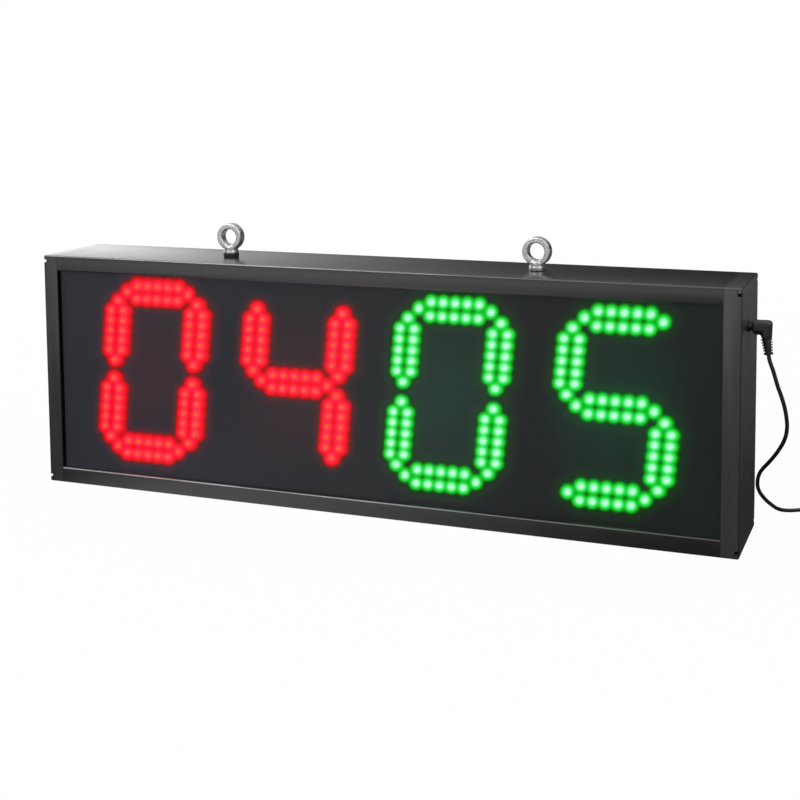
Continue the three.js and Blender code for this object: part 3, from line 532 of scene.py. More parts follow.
def plug_contact():
    """A tube along X with a rounded lip at its open end."""
    shape = spun([
        (sleeve_bore, 0), (sleeve_radius, 0), (sleeve_radius, sleeve_length - sleeve_lip),
        (sleeve_radius - sleeve_lip / 3, sleeve_length - sleeve_lip / 3),
        (sleeve_radius - sleeve_lip, sleeve_length), (sleeve_bore + sleeve_lip, sleeve_length),
        (sleeve_bore, sleeve_length - sleeve_lip), (sleeve_bore, 0)], 40)
    return moved(shape, Matrix.Translation((sleeve_low.x + sleeve_length, jack_centre.y, jack_centre.z))
                 @ quarter_turn("Y", -1))


plug_sleeve = fitted(plug_contact(), "plug_contact_sleeve", nickel_plate, "plug_sleeve", "supply_plug")

# Supply jack
# A black moulded sleeve, threaded, in the right end cap, with a round flange outside, a plated nut inside
# and a centre pin in its bore.
jack_low, jack_high = box_of("supply_jack")
jack_thread = 0.004
jack_thread_groove = 0.00025
jack_thread_turns = 18
jack_bore = 0.00305
jack_pin = 0.001
jack_pin_sink = 0.001
jack_soft_edge = 0.0003
jack_flange = (jack_high.z - jack_low.z) / 2
jack_flange_thickness = 0.002
jack_barrel_depth = 0.0153
jack_bore_depth = 0.0101


def thread_profile(radius, groove, start, pitch, turns):
    """Crests and valleys of a thread, from a height downwards."""
    return [(radius - groove * (k % 2), start - k * pitch / 2) for k in range(2 * turns + 1)]


def jack_shell():
    """The profile runs along X: height 0 is the flange's face and the barrel lies below it."""
    soft = jack_soft_edge
    pitch = (jack_barrel_depth - jack_flange_thickness) / jack_thread_turns
    shape = spun([
        (0, -jack_pin_sink), (jack_pin - soft, -jack_pin_sink), (jack_pin, -jack_pin_sink - soft),
        (jack_pin, -jack_bore_depth), (jack_bore, -jack_bore_depth), (jack_bore, -soft),
        (jack_bore + soft, 0), (jack_flange - soft, 0), (jack_flange, -soft),
        (jack_flange, -jack_flange_thickness),
        *thread_profile(jack_thread, jack_thread_groove, -jack_flange_thickness, pitch, jack_thread_turns),
        (0, -jack_barrel_depth)], 40)
    return moved(shape, Matrix.Translation((jack_high.x, jack_centre.y, jack_centre.z)) @ quarter_turn("Y"))


def finished(node, material):
    """Gives a node of the frame its material."""
    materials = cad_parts[node].data.materials
    materials.clear()
    materials.append(material)


fitted(jack_shell(), "supply_jack_sleeve", glossy_moulding, "supply_jack", "case")
finished("jack_nut", nickel_plate)

# Case rails
# Two channels folded from 1.2 mm steel sheet and powder coated satin black. The front lip turns in
# again to meet the panel, and joggled tongues at both ends slide under the end caps.
sheet = 0.0012
bend_radius = 0.0018
bend_segments = 5
lip_return = 0.006
frame_face = 0.0175
tongue_length = 0.012
seat_gap = 0.0003
paint_dark = (0.010, 0.0101, 0.0106)
paint_light = (0.015, 0.0151, 0.0156)
# Bend colours: a painted highlight on the upper front bend, in patches and lighter to the left, and painted
# shade in the upright bends.
bend_highlight_colour = (0.30, 0.30, 0.30)
bend_shade_colour = (0.002, 0.002, 0.002)
paint_dust = (0.2, 0.2, 0.2)
bend_gain = 1.4
bend_sharpness = 2.0
bend_shade_strength = 0.85
highlight_patches = (0.38, 0.62, 0.35)
highlight_reach = (0.12, -0.06, 0.15)
dust_scale = 160.0
dust_size = (0.05, 0.09)
dust_rarity = 0.93
dust_strength = 0.5
rail_low, rail_high = box_of("top_rail")
case_height = rail_high.z


def calculator(tree):
    """A short way to place a Math node in a tree and get its result."""
    return lambda operation, *values: add_node(
        tree, "Math", operation=operation, inputs=list(enumerate(values))).outputs[0]


def painted_bend_light():
    """A node group: where a highlight is painted on the upper front bend, and shade in the upright bends."""
    group, given, marks = node_group("painted_bend_light", ("Patch Scale",), ("Painted Highlight", "Painted Shade"))
    place = add_node(group, "TexCoord").outputs
    way, spot = (add_node(group, "SeparateXYZ", inputs=((0, place[name]),)).outputs
                 for name in ("Normal", "Object"))
    maths = calculator(group)
    forward = maths("MAXIMUM", maths("MULTIPLY", way["Y"], -bend_gain), 0.0)
    patches = add_node(group, "TexNoise", inputs=(
        ("Vector", place["Object"]), ("Scale", given["Patch Scale"]), ("Detail", 4.0))).outputs["Fac"]
    patchy_highlight = maths("MULTIPLY", remapped(group, patches, *highlight_patches),
                   remapped(group, spot["X"], *highlight_reach))
    for name, sideways, strength in (
            ("Painted Highlight", maths("MAXIMUM", maths("MULTIPLY", way["Z"], bend_gain), 0.0), patchy_highlight),
            ("Painted Shade", maths("ABSOLUTE", maths("MULTIPLY", way["X"], bend_gain)), bend_shade_strength)):
        bend = maths("POWER", maths("MINIMUM", maths("MULTIPLY", forward, sideways), 1.0), bend_sharpness)
        group.links.new(maths("MULTIPLY", bend, strength), marks[name])
    return group


painted_bend_light_group = painted_bend_light()


def powder_coat(name, light, dark):
    """Satin black powder coat: fine orange peel, uneven gloss, pale dust, painted highlight and shade on
    bends.
    """
    material, shader, tone = grained(name, light, dark, (0.22, 0.3), 14, 1100, 0.00002, gloss=0.7)
    tree = material.node_tree
    maths = calculator(tree)
    marks = add_node(tree, "Group", node_tree=painted_bend_light_group, inputs=(("Patch Scale", 12.0),)).outputs
    motes = add_node(tree, "TexVoronoi", inputs=(
        ("Vector", object_place(tree)), ("Scale", dust_scale))).outputs
    speck = remapped(tree, motes["Distance"], *dust_size, 1.0, 0.0)
    draw = add_node(tree, "SeparateColor", inputs=(("Color", motes["Color"]),)).outputs["Red"]
    dust = maths("MULTIPLY", maths("MULTIPLY", speck, maths("GREATER_THAN", draw, dust_rarity)),
                 dust_strength)
    # Painted highlight on the upper front bend, painted shade in the upright bends, then the dust.
    for mask, colour in ((marks["Painted Highlight"], bend_highlight_colour), (marks["Painted Shade"], bend_shade_colour), (dust, paint_dust)):
        tone = blended(tree, mask, tone, colour)
    tree.links.new(tone, shader.inputs["Base Color"])
    return material


case_paint = powder_coat("case_paint", paint_light, paint_dark)


def folded(shape):
    """Rounds the bends between a shape's faces and gives the sheet its thickness."""
    rounded(shape, [e for e in shape.edges if len(e.link_faces) == 2], bend_radius, bend_segments)
    bmesh.ops.solidify(shape, geom=shape.faces, thickness=sheet)
    return shape


def folded_channel(path, x0, x1):
    """Sheet folded along a path in (y, z), from x0 to x1. The path follows the outer face."""
    shape = bmesh.new()
    corners, edges = outline(shape, [(x0, y, z) for y, z in path])
    drawn(shape, bmesh.ops.extrude_edge_only(shape, edges=edges), (x1 - x0, 0, 0))
    return folded(shape)


def rail_shape(top):
    """A rail and its two tongues. z is measured from the outer face inwards."""
    front, back = rail_low.y, rail_high.y
    inset = sheet + seat_gap
    end = rail_high.x - tongue_length
    z = (lambda d: case_height - d) if top else (lambda d: d)
    whole = [(front + lip_return, z(frame_face)), (front, z(frame_face)), (front, z(0)),
             (back, z(0)), (back, z(frame_face))]
    tongue = [(front + inset, z(frame_face)), (front + inset, z(inset)),
              (back - inset, z(inset)), (back - inset, z(frame_face))]
    if not top:
        whole.reverse()
        tongue.reverse()
    shape = folded_channel(whole, -end, end)
    for side in (-1, 1):
        added(shape, folded_channel(tongue, *sorted((side * (end - sheet), side * rail_high.x))))
    return shape


for which, top in (("top", True), ("bottom", False)):
    fitted(rail_shape(top), f"{which}_rail_sheet", case_paint, f"{which}_rail", "case")

# End caps
# Folded trays of the same sheet close both ends. Their flanges are the stiles of the front frame. Each
# corner has a bend relief and a small tab split off by a thin slit; the right cap holds the jack.
tab = 0.005
tab_width = 0.0044
relief_height = 0.0032
relief_depth = 0.005
slit = 0.0005
overrun = 0.001
cap_low, cap_high = box_of("right_end_cap")


def carved(shape, cutter, name):
    """The first shape less the second, as a bmesh."""
    for part in (shape, cutter):
        bmesh.ops.recalc_face_normals(part, faces=part.faces)
    body, tool = meshed(shape, name), meshed(cutter, f"{name}_cutter")
    cut = body.modifiers.new("cut", "BOOLEAN")
    cut.operation = "DIFFERENCE"
    cut.solver = "EXACT"
    cut.use_self = True
    cut.object = tool
    result = with_modifiers(body)
    bpy.data.objects.remove(tool)
    return result


def cap_tray():
    """An open box folded from sheet: the end plate and four flanges, with rounded bends."""
    shape = bmesh.new()
    block(shape, cap_low, cap_high)
    mouth = min(shape.faces, key=lambda f: f.calc_center_median().x)
    bmesh.ops.delete(shape, geom=[mouth], context="FACES_ONLY")
    return folded(shape)


def cap_cutter():
    """The blocks that cut the bend reliefs and the slits beside the tabs."""
    shape = bmesh.new()
    for y, inwards in ((cap_low.y, 1), (cap_high.y, -1)):
        for z, upwards in ((0, 1), (cap_high.z, -1)):
            block(shape,
                  (cap_high.x - tab_width, y - inwards * overrun, z + upwards * tab),
                  (cap_high.x + overrun, y + inwards * relief_depth, z + upwards * (tab + relief_height)))
            block(shape,
                  (cap_high.x - tab_width - slit, y - inwards * overrun, z + upwards * bend_radius),
                  (cap_high.x - tab_width, y + inwards * (sheet + slit), z + upwards * (tab + slit)))
    return shape


# Painted light: the caps get lighter copies of the rails' paint, the right one lightest, for the light that
# falls on the ends.
for which, side, light, dark in (("left", -1, 0.025, 0.018), ("right", 1, 0.038, 0.03)):
    cap_paint_with_painted_light = powder_coat(f"{which}_cap_paint_with_painted_light", (light,) * 3, (dark,) * 3)
    tray = carved(cap_tray(), cap_cutter(), f"{which}_cap")
    moved(tray, Matrix.Diagonal((side, 1, 1, 1)))
    fitted(tray, f"{which}_end_cap_sheet", cap_paint_with_painted_light, f"{which}_end_cap", "case")

# Rear cover
# A flat plate of the same sheet with rounded corners, screwed over the rear lips with eight pan-head
# screws that have a cross recess.
cover_corner = 0.004
cover_edge = 0.0002
cover_low, cover_high = box_of("rear_cover")
screw_head = 0.0029
screw_head_height = 0.0019
screw_shank = 0.0015
recess_width = 0.0007
recess_reach = 0.0017
recess_depth = 0.0011
screw_turn_step = math.radians(37)


def cover_plate():
    shape = bmesh.new()
    block(shape, cover_low, cover_high)
    rounded(shape, edges_along(shape, 1), cover_corner, 6)
    rounded(shape, edges_along(shape, 1, False), cover_edge, 2)
    return shape


fitted(cover_plate(), "rear_cover_plate", case_paint, "rear_cover", "case")
zinc_plate = grained("zinc_plate", (0.62, 0.63, 0.65), (0.44, 0.45, 0.48), (0.26, 0.46),
                     320, 1800, 0.00003, 1.0)[0]


def pan_screw(length):
    """Stands on height 0, head up, with a cross recess."""
    head = spun([
        (0, -length), (screw_shank * 0.6, -length), (screw_shank, -length + screw_shank),
        (screw_shank, 0), (screw_head, 0), (screw_head, 0.35 * screw_head_height),
        (0.9 * screw_head, 0.68 * screw_head_height), (0.7 * screw_head, 0.87 * screw_head_height),
        (0.35 * screw_head, 0.98 * screw_head_height), (0, screw_head_height)], 28)
    cross = bmesh.new()
    for wide, narrow in ((recess_reach, recess_width / 2), (recess_width / 2, recess_reach)):
        block(cross, (-wide, -narrow, screw_head_height - recess_depth),
              (wide, narrow, screw_head_height + overrun))
    return carved(head, cross, "screw")


for k in range(1, 9):
    low, high = box_of(f"rear_screw_{k}")
    seat = Vector(((low.x + high.x) / 2, high.y - screw_head_height, (low.z + high.z) / 2))
    turn = Matrix.Rotation(screw_turn_step * k, 4, "Z")
    screw = moved(pan_screw(seat.y - low.y), Matrix.Translation(seat) @ quarter_turn("X", -1) @ turn)
    fitted(screw, f"cover_screw_{k}", zinc_plate, f"rear_screw_{k}", "case")

# Front panel
# A flat sheet of smoked acrylic, 3 mm thick, set behind the lips of the frame. It hides what isn't
# lit, and the lit lamps shine through it.
smoke_cover = 0.7
smoke_tint = (0.005, 0.005, 0.006)
smoked_acrylic, acrylic_shader = grained(
    "smoked_acrylic", (0.007, 0.007, 0.008), smoke_tint, (0.38, 0.48), 9, 60, 0.000001, gloss=0.25)[:2]
acrylic_shader.inputs["Alpha"].default_value = smoke_cover
finished("front_panel", smoked_acrylic)

# Inner angles
# Four angles folded from the same sheet and painted black: one pair holds the panel against the lips,
# the other carries the digit boards.
for name in ("panel_retainer_top", "panel_retainer_bottom", "board_angle_top", "board_angle_bottom"):
    finished(name, case_paint)
for k in range(1, 5):
    for where in ("upper", "lower"):
        finished(f"digit_screw_{k}_{where}", zinc_plate)

# Digit boards
# Four laminate boards with a dark solder mask carry 84 lens-top lamps each, in seven slanted segments:
# a tip, five pairs and a tip. The left two light red and read 04, the right two green and read 05. A thin
# sheet level with the lamps' shoulders carries painted light: the lamps' glow spread round them, a faint
# painted halo over each digit and a painted sheen, lighter on the left.
lamp_radius = 0.0025
lamp_straight = 0.006
lamp_dome = 0.0025
lamp_foot = 0.0004
lamp_flange = 0.0003
lamp_flange_height = 0.0008
lamp_shoulder = 0.001
board_thickness = 0.0016
board_corner = 0.002
pitch_across = 0.0131
pitch_up = 0.01135
row_gap_across = 0.0153
row_gap_up = 0.0144
segment_rise = 0.0894
digit_span = 0.1013
lean = 0.095
display_height = 0.132
header_size = Vector((0.009, 0.0084, 0.020))
header_spread = 0.074
shown_digits = ("abcdef", "bcfg", "abcdef", "acdfg")
lamp_tip = Vector(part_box("digit_board_1")[0]).y
glow_plane = lamp_tip + lamp_dome
board_front = glow_plane + lamp_straight
board_back = board_front + board_thickness
glow_reach = 0.020
darkness = 1e-12
# A faint painted halo over each digit.
halo_reach = (0.084, 0.110)
halo_fall = 1.5
red_halo, green_halo = (0.018, 0.001, 0.001), (0.0, 0.019, 0.009)
# Painted sheen: tones that fall from left to right across the digits, kept clear of the lamps.
painted_sheen_tones = (
    (0.0, (0.021, 0.0215, 0.029)), (0.25, (0.019, 0.0195, 0.0255)), (0.5, (0.0155, 0.018, 0.0187)),
    (0.62, (0.012, 0.0145, 0.0145)), (0.85, (0.0075, 0.010, 0.0085)), (1.0, (0.006, 0.0115, 0.009)))
glow_sheet_edges = (-0.3825, -0.176, 0.0, 0.176, 0.3825)
glow_sheet_bottom, glow_sheet_top = 0.009, 0.253
painted_sheen_clear = (0.009, 0.0125)
# The glow by distance from the nearest lamp: the lamp itself near 0, painted glow on the sheet beyond its
# dome.
red_glow = (
    (0.0, (1.0, 0.14, 0.035)), (0.002, (1.0, 0.064, 0.040)), (0.004, (1.0, 0.022, 0.054)),
    (0.006, (0.97, 0.0, 0.027)), (0.0075, (0.83, 0.0, 0.0)), (0.009, (0.50, 0.0, 0.0)),
    (0.0105, (0.13, 0.0, 0.0)), (0.012, (0.05, 0.0, 0.0)), (0.015, (0.015, 0.0, 0.0)),
    (glow_reach, (0.0, 0.0, 0.0)))
green_glow = (
    (0.0, (0.61, 1.0, 0.80)), (0.002, (0.456, 1.0, 0.63)), (0.003, (0.305, 0.97, 0.468)),
    (0.004, (0.125, 0.88, 0.242)), (0.005, (0.023, 0.738, 0.087)), (0.006, (0.0, 0.63, 0.020)),
    (0.007, (0.0, 0.45, 0.005)), (0.008, (0.0, 0.18, 0.0)), (0.009, (0.0, 0.06, 0.0)),
    (0.010, (0.0, 0.03, 0.0)), (0.012, (0.0, 0.015, 0.0)), (glow_reach, (0.0, 0.0, 0.0)))
digit_light = (
    ("red", red_glow, 0.0048, (1.12, 1.38), (0.72, 1.0), red_halo),
    ("red", red_glow, 0.0046, (1.0, 1.2), (0.85, 1.0), red_halo),
    ("green", green_glow, 0.0041, (1.1, 1.18), (0.9, 1.0), green_halo),
    ("green", green_glow, 0.0038, (1.1, 1.15), (0.95, 1.0), green_halo))
segments = {
    "a": ("across", 0, segment_rise), "g": ("across", 0, 0), "d": ("across", 0, -segment_rise),
    "f": ("up", -digit_span / 2, segment_rise / 2), "b": ("up", digit_span / 2, segment_rise / 2),
    "e": ("up", -digit_span / 2, -segment_rise / 2), "c": ("up", digit_span / 2, -segment_rise / 2),
}


def lamp_places(letter):
    """Places of a segment's twelve lamps from the middle of the digit."""
    way, x, z = segments[letter]
    places = []
    for k in range(-3, 4):
        for edge in ((0,) if abs(k) == 3 else (-0.5, 0.5)):
            if way == "across":
                places.append((x + k * pitch_across, z + edge * row_gap_up))
            else:
                places.append((x + edge * row_gap_across, z + k * pitch_up))
    return [(u + lean * v, v) for u, v in places]


def segment_light():
    """A node group: the light of a segment's twelve lamps at a point, each a soft bell that adds up.

    Skew widens the outer row's bells to one side, a painted spread of the glow to that side. Evenness
    below 1 joins the lamps of a row into a smoother line.
    """
    group, given, result = node_group(
        "segment_light", ("Along", "Across", "Pitch", "Gap", "Spread", "Skew", "Evenness"), ("Light",))
    maths = calculator(group)

    def bell(offset):
        width = maths("DIVIDE", offset, given["Spread"])
        return maths("EXPONENT", maths("MULTIPLY", maths("MULTIPLY", width, width), -1.0))

    def skewed(offset):
        return bell(maths("MINIMUM", offset, maths("DIVIDE", offset, given["Skew"])))

    along = maths("ABSOLUTE", given["Along"])
    across = given["Across"]
    half_gap = maths("MULTIPLY", given["Gap"], 0.5)
    first, second, third = (
        bell(maths("SUBTRACT", along, maths("MULTIPLY", given["Pitch"], float(k)))) for k in (1, 2, 3))
    line = maths("POWER", maths("ADD", maths("ADD", bell(along), first), second), given["Evenness"])
    rows = maths("ADD", skewed(maths("SUBTRACT", across, half_gap)), bell(maths("ADD", across, half_gap)))
    light = maths("ADD", maths("MULTIPLY", line, rows), maths("MULTIPLY", third, skewed(across)))
    group.links.new(light, result["Light"])
    return group


lamp_light = segment_light()


def colour_ramp(tree, share, stops):
    """Colours along a share from 0 to 1."""
    ramp = add_node(tree, "ValToRGB", inputs=(("Fac", share),))
    points = ramp.color_ramp.elements
    for k, (place, colour) in enumerate(stops):
        stop = points[k] if k < 2 else points.new(place)
        stop.position = place
        stop.color = (*colour, 1)
    return ramp.outputs["Color"]


def glow_material(name, centre_x, letters, stops, spread, skew, evenness, halo):
    """The lamps' light, a hot core and a saturated body, with a painted soft rim, faint halo and sheen."""
    material, shader = new_material(name, (0.004,) * 3, 0.7, gloss=0.2)
    tree = material.node_tree
    maths = calculator(tree)
    axes = add_node(tree, "SeparateXYZ", inputs=((0, object_place(tree)),)).outputs
    rise = maths("SUBTRACT", axes["Z"], display_height)
    upright = maths("SUBTRACT", maths("SUBTRACT", axes["X"], centre_x), maths("MULTIPLY", rise, lean))
    light = darkness
    for letter in letters:
        way, x, z = segments[letter]
        u, v = maths("SUBTRACT", upright, x), maths("SUBTRACT", rise, z)
        values = (u, v, pitch_across, row_gap_up, spread, skew[0], evenness[0]) if way == "across" else (
            v, u, pitch_up, row_gap_across, spread, skew[1], evenness[1])
        light = maths("ADD", light, add_node(
            tree, "Group", node_tree=lamp_light, inputs=list(enumerate(values))).outputs[0])
    fall = maths("MAXIMUM", maths("MULTIPLY", maths("LOGARITHM", light, math.e), -1.0), 0.0)
    distance = maths("MULTIPLY", maths("SQRT", fall), spread)
    # Beyond the lamps' own domes this is painted glow on the sheet.
    glare = colour_ramp(tree, maths("DIVIDE", distance, glow_reach),
                        [(reach / glow_reach, colour) for reach, colour in stops])
    # Painted sheen, lighter on the left, added away from the lamps.
    painted_sheen = colour_ramp(tree, remapped(tree, axes["X"], glow_sheet_edges[0], glow_sheet_edges[-1]), painted_sheen_tones)
    painted_glow = blended(tree, remapped(tree, distance, *painted_sheen_clear), glare, painted_sheen, "ADD")
    # Painted halo: a faint glow over the whole digit.
    squares = [maths("POWER", maths("ABSOLUTE", maths("DIVIDE", axis, reach)), 2.0)
               for axis, reach in zip((upright, rise), halo_reach)]
    haze = maths("POWER", maths("MAXIMUM", maths("SUBTRACT", 1.0, maths("ADD", *squares)), 0.0), halo_fall)
    tree.links.new(blended(tree, haze, painted_glow, halo, "ADD"), shader.inputs["Emission Color"])
    shader.inputs["Emission Strength"].default_value = 1 / (1 - smoke_cover) ** 2
    return material


def solder_mask():
    """Dark green solder mask over a web of tracks that stand out a little lighter."""
    material, shader, tone = grained("solder_mask", (0.008, 0.020, 0.014), (0.004, 0.011, 0.008), (0.3, 0.5),
                                     60, 500, 0.00003)
    tree = material.node_tree
    flat = add_node(tree, "Mapping", inputs=(
        ("Vector", object_place(tree)), ("Rotation", (math.pi / 2, 0, 0))))
    tracks = add_node(tree, "TexBrick", inputs=(
        ("Vector", flat.outputs[0]), ("Scale", 60.0), ("Mortar Size", 0.05), ("Mortar Smooth", 0.3)))
    lifted = blended(tree, tracks.outputs["Fac"], tone, (0.014, 0.036, 0.024))
    tree.links.new(lifted, shader.inputs["Base Color"])
    return material


board_mask = solder_mask()


def lamp_lens():
    """A round lens on its straight body, pointing along -Y from the board."""
    shape = spun([
        (0, -lamp_foot), (lamp_radius + lamp_flange, -lamp_foot),
        (lamp_radius + lamp_flange, lamp_flange_height), (lamp_radius, lamp_shoulder),
        *[(lamp_radius * math.cos(a), lamp_straight + lamp_dome * math.sin(a))
          for a in map(math.radians, (0, 22, 45, 68))],
        (0, lamp_straight + lamp_dome)], 14)
    return moved(shape, Matrix.Translation((0, board_front, 0)) @ quarter_turn("X"))


def lamps(letters, centre_x):
    """All lamps of these segments in one shape."""
    shape = bmesh.new()
    for letter in letters:
        for x, z in lamp_places(letter):
            added(shape, moved(lamp_lens(), Matrix.Translation((centre_x + x, 0, display_height + z))))
    return shape


def board(low, high):
    """The laminate plate with softened edges, and the two headers on its back."""
    shape = bmesh.new()
    block(shape, (low.x, board_front, low.z), (high.x, board_back, high.z))
    rounded(shape, edges_along(shape, 1), board_corner, 4)
    centre = (low + high) / 2
    for side in (-1, 1):
        middle = Vector((centre.x + side * header_spread, board_back + header_size.y / 2, centre.z))
        block(shape, middle - header_size / 2, middle + header_size / 2)
    return shape


def painted_glow_sheet(left, right):
    """The sheet that carries the painted glow in front of one board, level with the lamps' shoulders."""
    shape = bmesh.new()
    centre = Vector(((left + right) / 2, glow_plane, (glow_sheet_bottom + glow_sheet_top) / 2))
    size = Matrix.Diagonal((right - left, 1, glow_sheet_top - glow_sheet_bottom, 1))
    bmesh.ops.create_grid(shape, x_segments=8, y_segments=10, size=0.5,
                          matrix=Matrix.Translation(centre) @ size @ quarter_turn("X"))
    return shape


for k, (letters, (colour, *light)) in enumerate(zip(shown_digits, digit_light), 1):
    low, high = box_of(f"digit_board_{k}")
    centre_x = (low.x + high.x) / 2
    lit = glow_material(f"{colour}_light_{k}", centre_x, letters, *light)
    fitted(board(low, high), f"digit_{k}_board", board_mask, f"digit_board_{k}", "case")
    bright = piece_of(lamps(letters, centre_x), f"digit_{k}_lit_lamps", lit)
    others = [letter for letter in segments if letter not in letters]
    # The unlit lamps carry the painted sheen and halo too.
    dull = piece_of(lamps(sorted(others), centre_x), f"digit_{k}_unlit_lamps", lit)
    # A sheet that carries only painted glow, sheen and halo.
    glow = piece_of(painted_glow_sheet(*glow_sheet_edges[k - 1:k + 1]), f"digit_{k}_film", lit)
    for piece in (bright, dull, glow):
        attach(piece, "case")

# Inner wiring
# Grey flat cables join the boards, the control board stands on nylon pillars, and a short lead brings
# the supply from the jack. None of it shows with the case shut.
conductor_pitch = 0.000798


def flat_cable():
    """Grey vinyl with grooves between its conductors, and painted shade in the grooves."""
    material, shader = new_material("flat_cable", (0.33, 0.34, 0.36), 0.5)
    tree = material.node_tree
    grooves = add_node(tree, "TexWave", bands_direction="Z", inputs=(
        ("Vector", object_place(tree)), ("Scale", math.pi / 10 / conductor_pitch))).outputs["Fac"]
    bump = add_node(tree, "Bump", inputs=(("Height", grooves), ("Strength", 0.8), ("Distance", 0.0003)))
    # Painted shade: the grooves are coloured darker.
    tone = blended(tree, grooves, (0.16, 0.165, 0.18), (0.36, 0.37, 0.39))
    tree.links.new(tone, shader.inputs["Base Color"])
    tree.links.new(bump.outputs["Normal"], shader.inputs["Normal"])
    return material


ribbon_vinyl = flat_cable()
pillar_nylon = grained("nylon", (0.70, 0.68, 0.60), (0.6, 0.58, 0.5), (0.38, 0.55), 200, 1500, 0.00003)[0]
for part in (1, 2, 3, "control"):
    finished(f"ribbon_cable_{part}", ribbon_vinyl)
for k in range(1, 5):
    finished(f"board_pillar_{k}", pillar_nylon)
for side in ("left", "right"):
    for part in ("washer", "nut"):
        finished(f"{side}_eye_{part}", zinc_plate)
finished("control_board", board_mask)
finished("supply_lead", cord_vinyl)

# Eye bolts
# Two cast and galvanised eye bolts, each a deep ring with soft edges on a neck and a flat collar, with a
# threaded shank through the top rail. The left one stands up on a black cup washer, whose lip round the
# collar's foot is a dark piece standing in for shade.
eye_ring = 0.0118
eye_ring_thickness = 0.0061
eye_ring_depth = 0.0112
eye_ring_edge = 0.0016
eye_rise = 0.0197
eye_collar = 0.0083
eye_collar_height = 0.004
eye_collar_soft = 0.0004
eye_neck = 0.0079
eye_neck_rise = 0.95
eye_throat = 0.0064
eye_throat_height = 0.0102
eye_shank = 0.004
eye_shank_length = 0.020
eye_thread_groove = 0.0004
eye_thread_turns = 15
cast_voxel = 0.00035
cup_radius = 0.0087
# The cup's lip rises round the collar's foot: a dark piece standing in for the shade on the collar's lower
# edge.
shade_lip_height = 0.0016
cup_gap = 0.0002


def galvanised():
    """Hot-dipped zinc on rough iron: bright ridges, grey hollows and small pits."""
    material, shader, tone = grained("galvanised_iron", (0.84, 0.84, 0.84), (0.54, 0.54, 0.55), (0.34, 0.5),
                                     240, 700, 0.00012, 1.0)
    tree = material.node_tree
    pits = add_node(tree, "TexVoronoi", inputs=(("Vector", object_place(tree)), ("Scale", 620.0)))
    stained = blended(tree, remapped(tree, pits.outputs["Distance"], 0.1, 0.5), (0.22, 0.22, 0.22), tone)
    tree.links.new(stained, shader.inputs["Base Color"])
    return material


galvanised_iron = galvanised()


def eye_casting():
    """Ring, neck and collar joined into one skin, with the fillets of a casting."""
    ring = bmesh.new()
    inner, outer = (eye_ring + way * eye_ring_thickness / 2 for way in (-1, 1))
    face = eye_ring_depth / 2
    corners = outline(ring, [
        (inner, -face, 0), (outer, -face, 0), (outer, face, 0), (inner, face, 0)], True)[0]
    rounded(ring, corners, eye_ring_edge, 5, "VERTICES")
    bmesh.ops.spin(ring, geom=ring.verts[:] + ring.edges[:], cent=(0, 0, 0), axis=(0, 1, 0),
                   angle=2 * math.pi, steps=64, use_merge=True)
    moved(ring, Matrix.Translation((0, 0, eye_rise)))
    soft = eye_collar_soft
    stem = spun([
        (0, 0), (eye_collar - soft, 0), (eye_collar, soft), (eye_collar, eye_collar_height - 1.75 * soft),
        (eye_neck + soft / 2, eye_collar_height), (eye_neck, eye_collar_height + soft),
        (eye_neck, eye_rise - eye_neck_rise * eye_ring), (eye_throat, eye_throat_height),
        (0, eye_throat_height)], 40)
    return one_skin(added(ring, stem), cast_voxel, 3)


def threaded_shank():
    """The shank below the collar, with its thread as close grooves."""
    thread = thread_profile(eye_shank, eye_thread_groove, 0, eye_shank_length / (eye_thread_turns + 1),
                            eye_thread_turns)
    return spun([(0, 0.001), (eye_shank, 0.001), *thread,
                 (eye_shank - 2 * eye_thread_groove, -eye_shank_length), (0, -eye_shank_length)], 24)


def cup_washer(rise):
    """A cup that stands on height 0 and takes a collar that hovers above it."""
    lip = rise + shade_lip_height
    return spun([
        (eye_shank + cup_gap, 0), (cup_radius - 2 * cup_gap, 0), (cup_radius, 2 * cup_gap),
        (cup_radius, lip - cup_gap), (cup_radius - cup_gap, lip), (eye_collar + cup_gap / 2, lip),
        (eye_collar + cup_gap / 2, rise - cup_gap), (eye_shank + cup_gap, rise - cup_gap),
        (eye_shank + cup_gap, 0)], 48)


for side in ("left", "right"):
    low, high = box_of(f"{side}_eye_bolt")
    foot = Vector(((low.x + high.x) / 2, 0, low.z + eye_shank_length))
    bolt = moved(added(eye_casting(), threaded_shank()), Matrix.Translation(foot))
    fitted(bolt, f"{side}_eye_casting", galvanised_iron, f"{side}_eye_bolt", f"{side}_eye",
           60)
    if side == "left":
        cup = moved(cup_washer(foot.z - case_height),
                    Matrix.Translation((foot.x, 0, case_height + cup_gap / 2)))
        cup = piece_of(cup, "left_eye_cup_washer", black_moulding)
        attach(cup, "case")

# Studio
# A pale floor under soft, wide lamps. The room shows white to the camera and through glass. What a
# gloss shows of it is bright on the left and falls to dark on the right, as beside a window.
floor_reach = 12
floor_albedo = 0.86
floor_near, floor_far = 0.5, 2.5
floor_white_near, floor_white_far = 0.98, 1.0
near_gloss = ((-0.39, 0.13), (-0.33, 0.6), (-0.25, 1.0), (-0.1, 0.95), (0.05, 0.6), (0.1, 0.45),
              (0.2, 0.2), (0.3, 0.05), (0.42, 0.02), (0.6, 0.12), (1.2, 0.2))
far_gloss = ((-1.4, 0.0), (-1.15, 0.5), (-0.9, 1.4), (-0.8, 1.5), (-0.6, 1.1), (-0.3, 0.6),
             (0.0, 0.3), (0.2, 0.0))
beyond_gloss = 1.6
near_reach = ((-1.0, 0.0), (-0.6, 1.0))
far_reach = ((-2.1, 0.0), (-1.8, 1.0), (-1.0, 1.0), (-0.6, 0.0))
lamp_aim = Vector((0, 0, 0.12))
room_light = 0.55
window_strength = 2.3
window_edge = -0.543
window_fall = 12.8
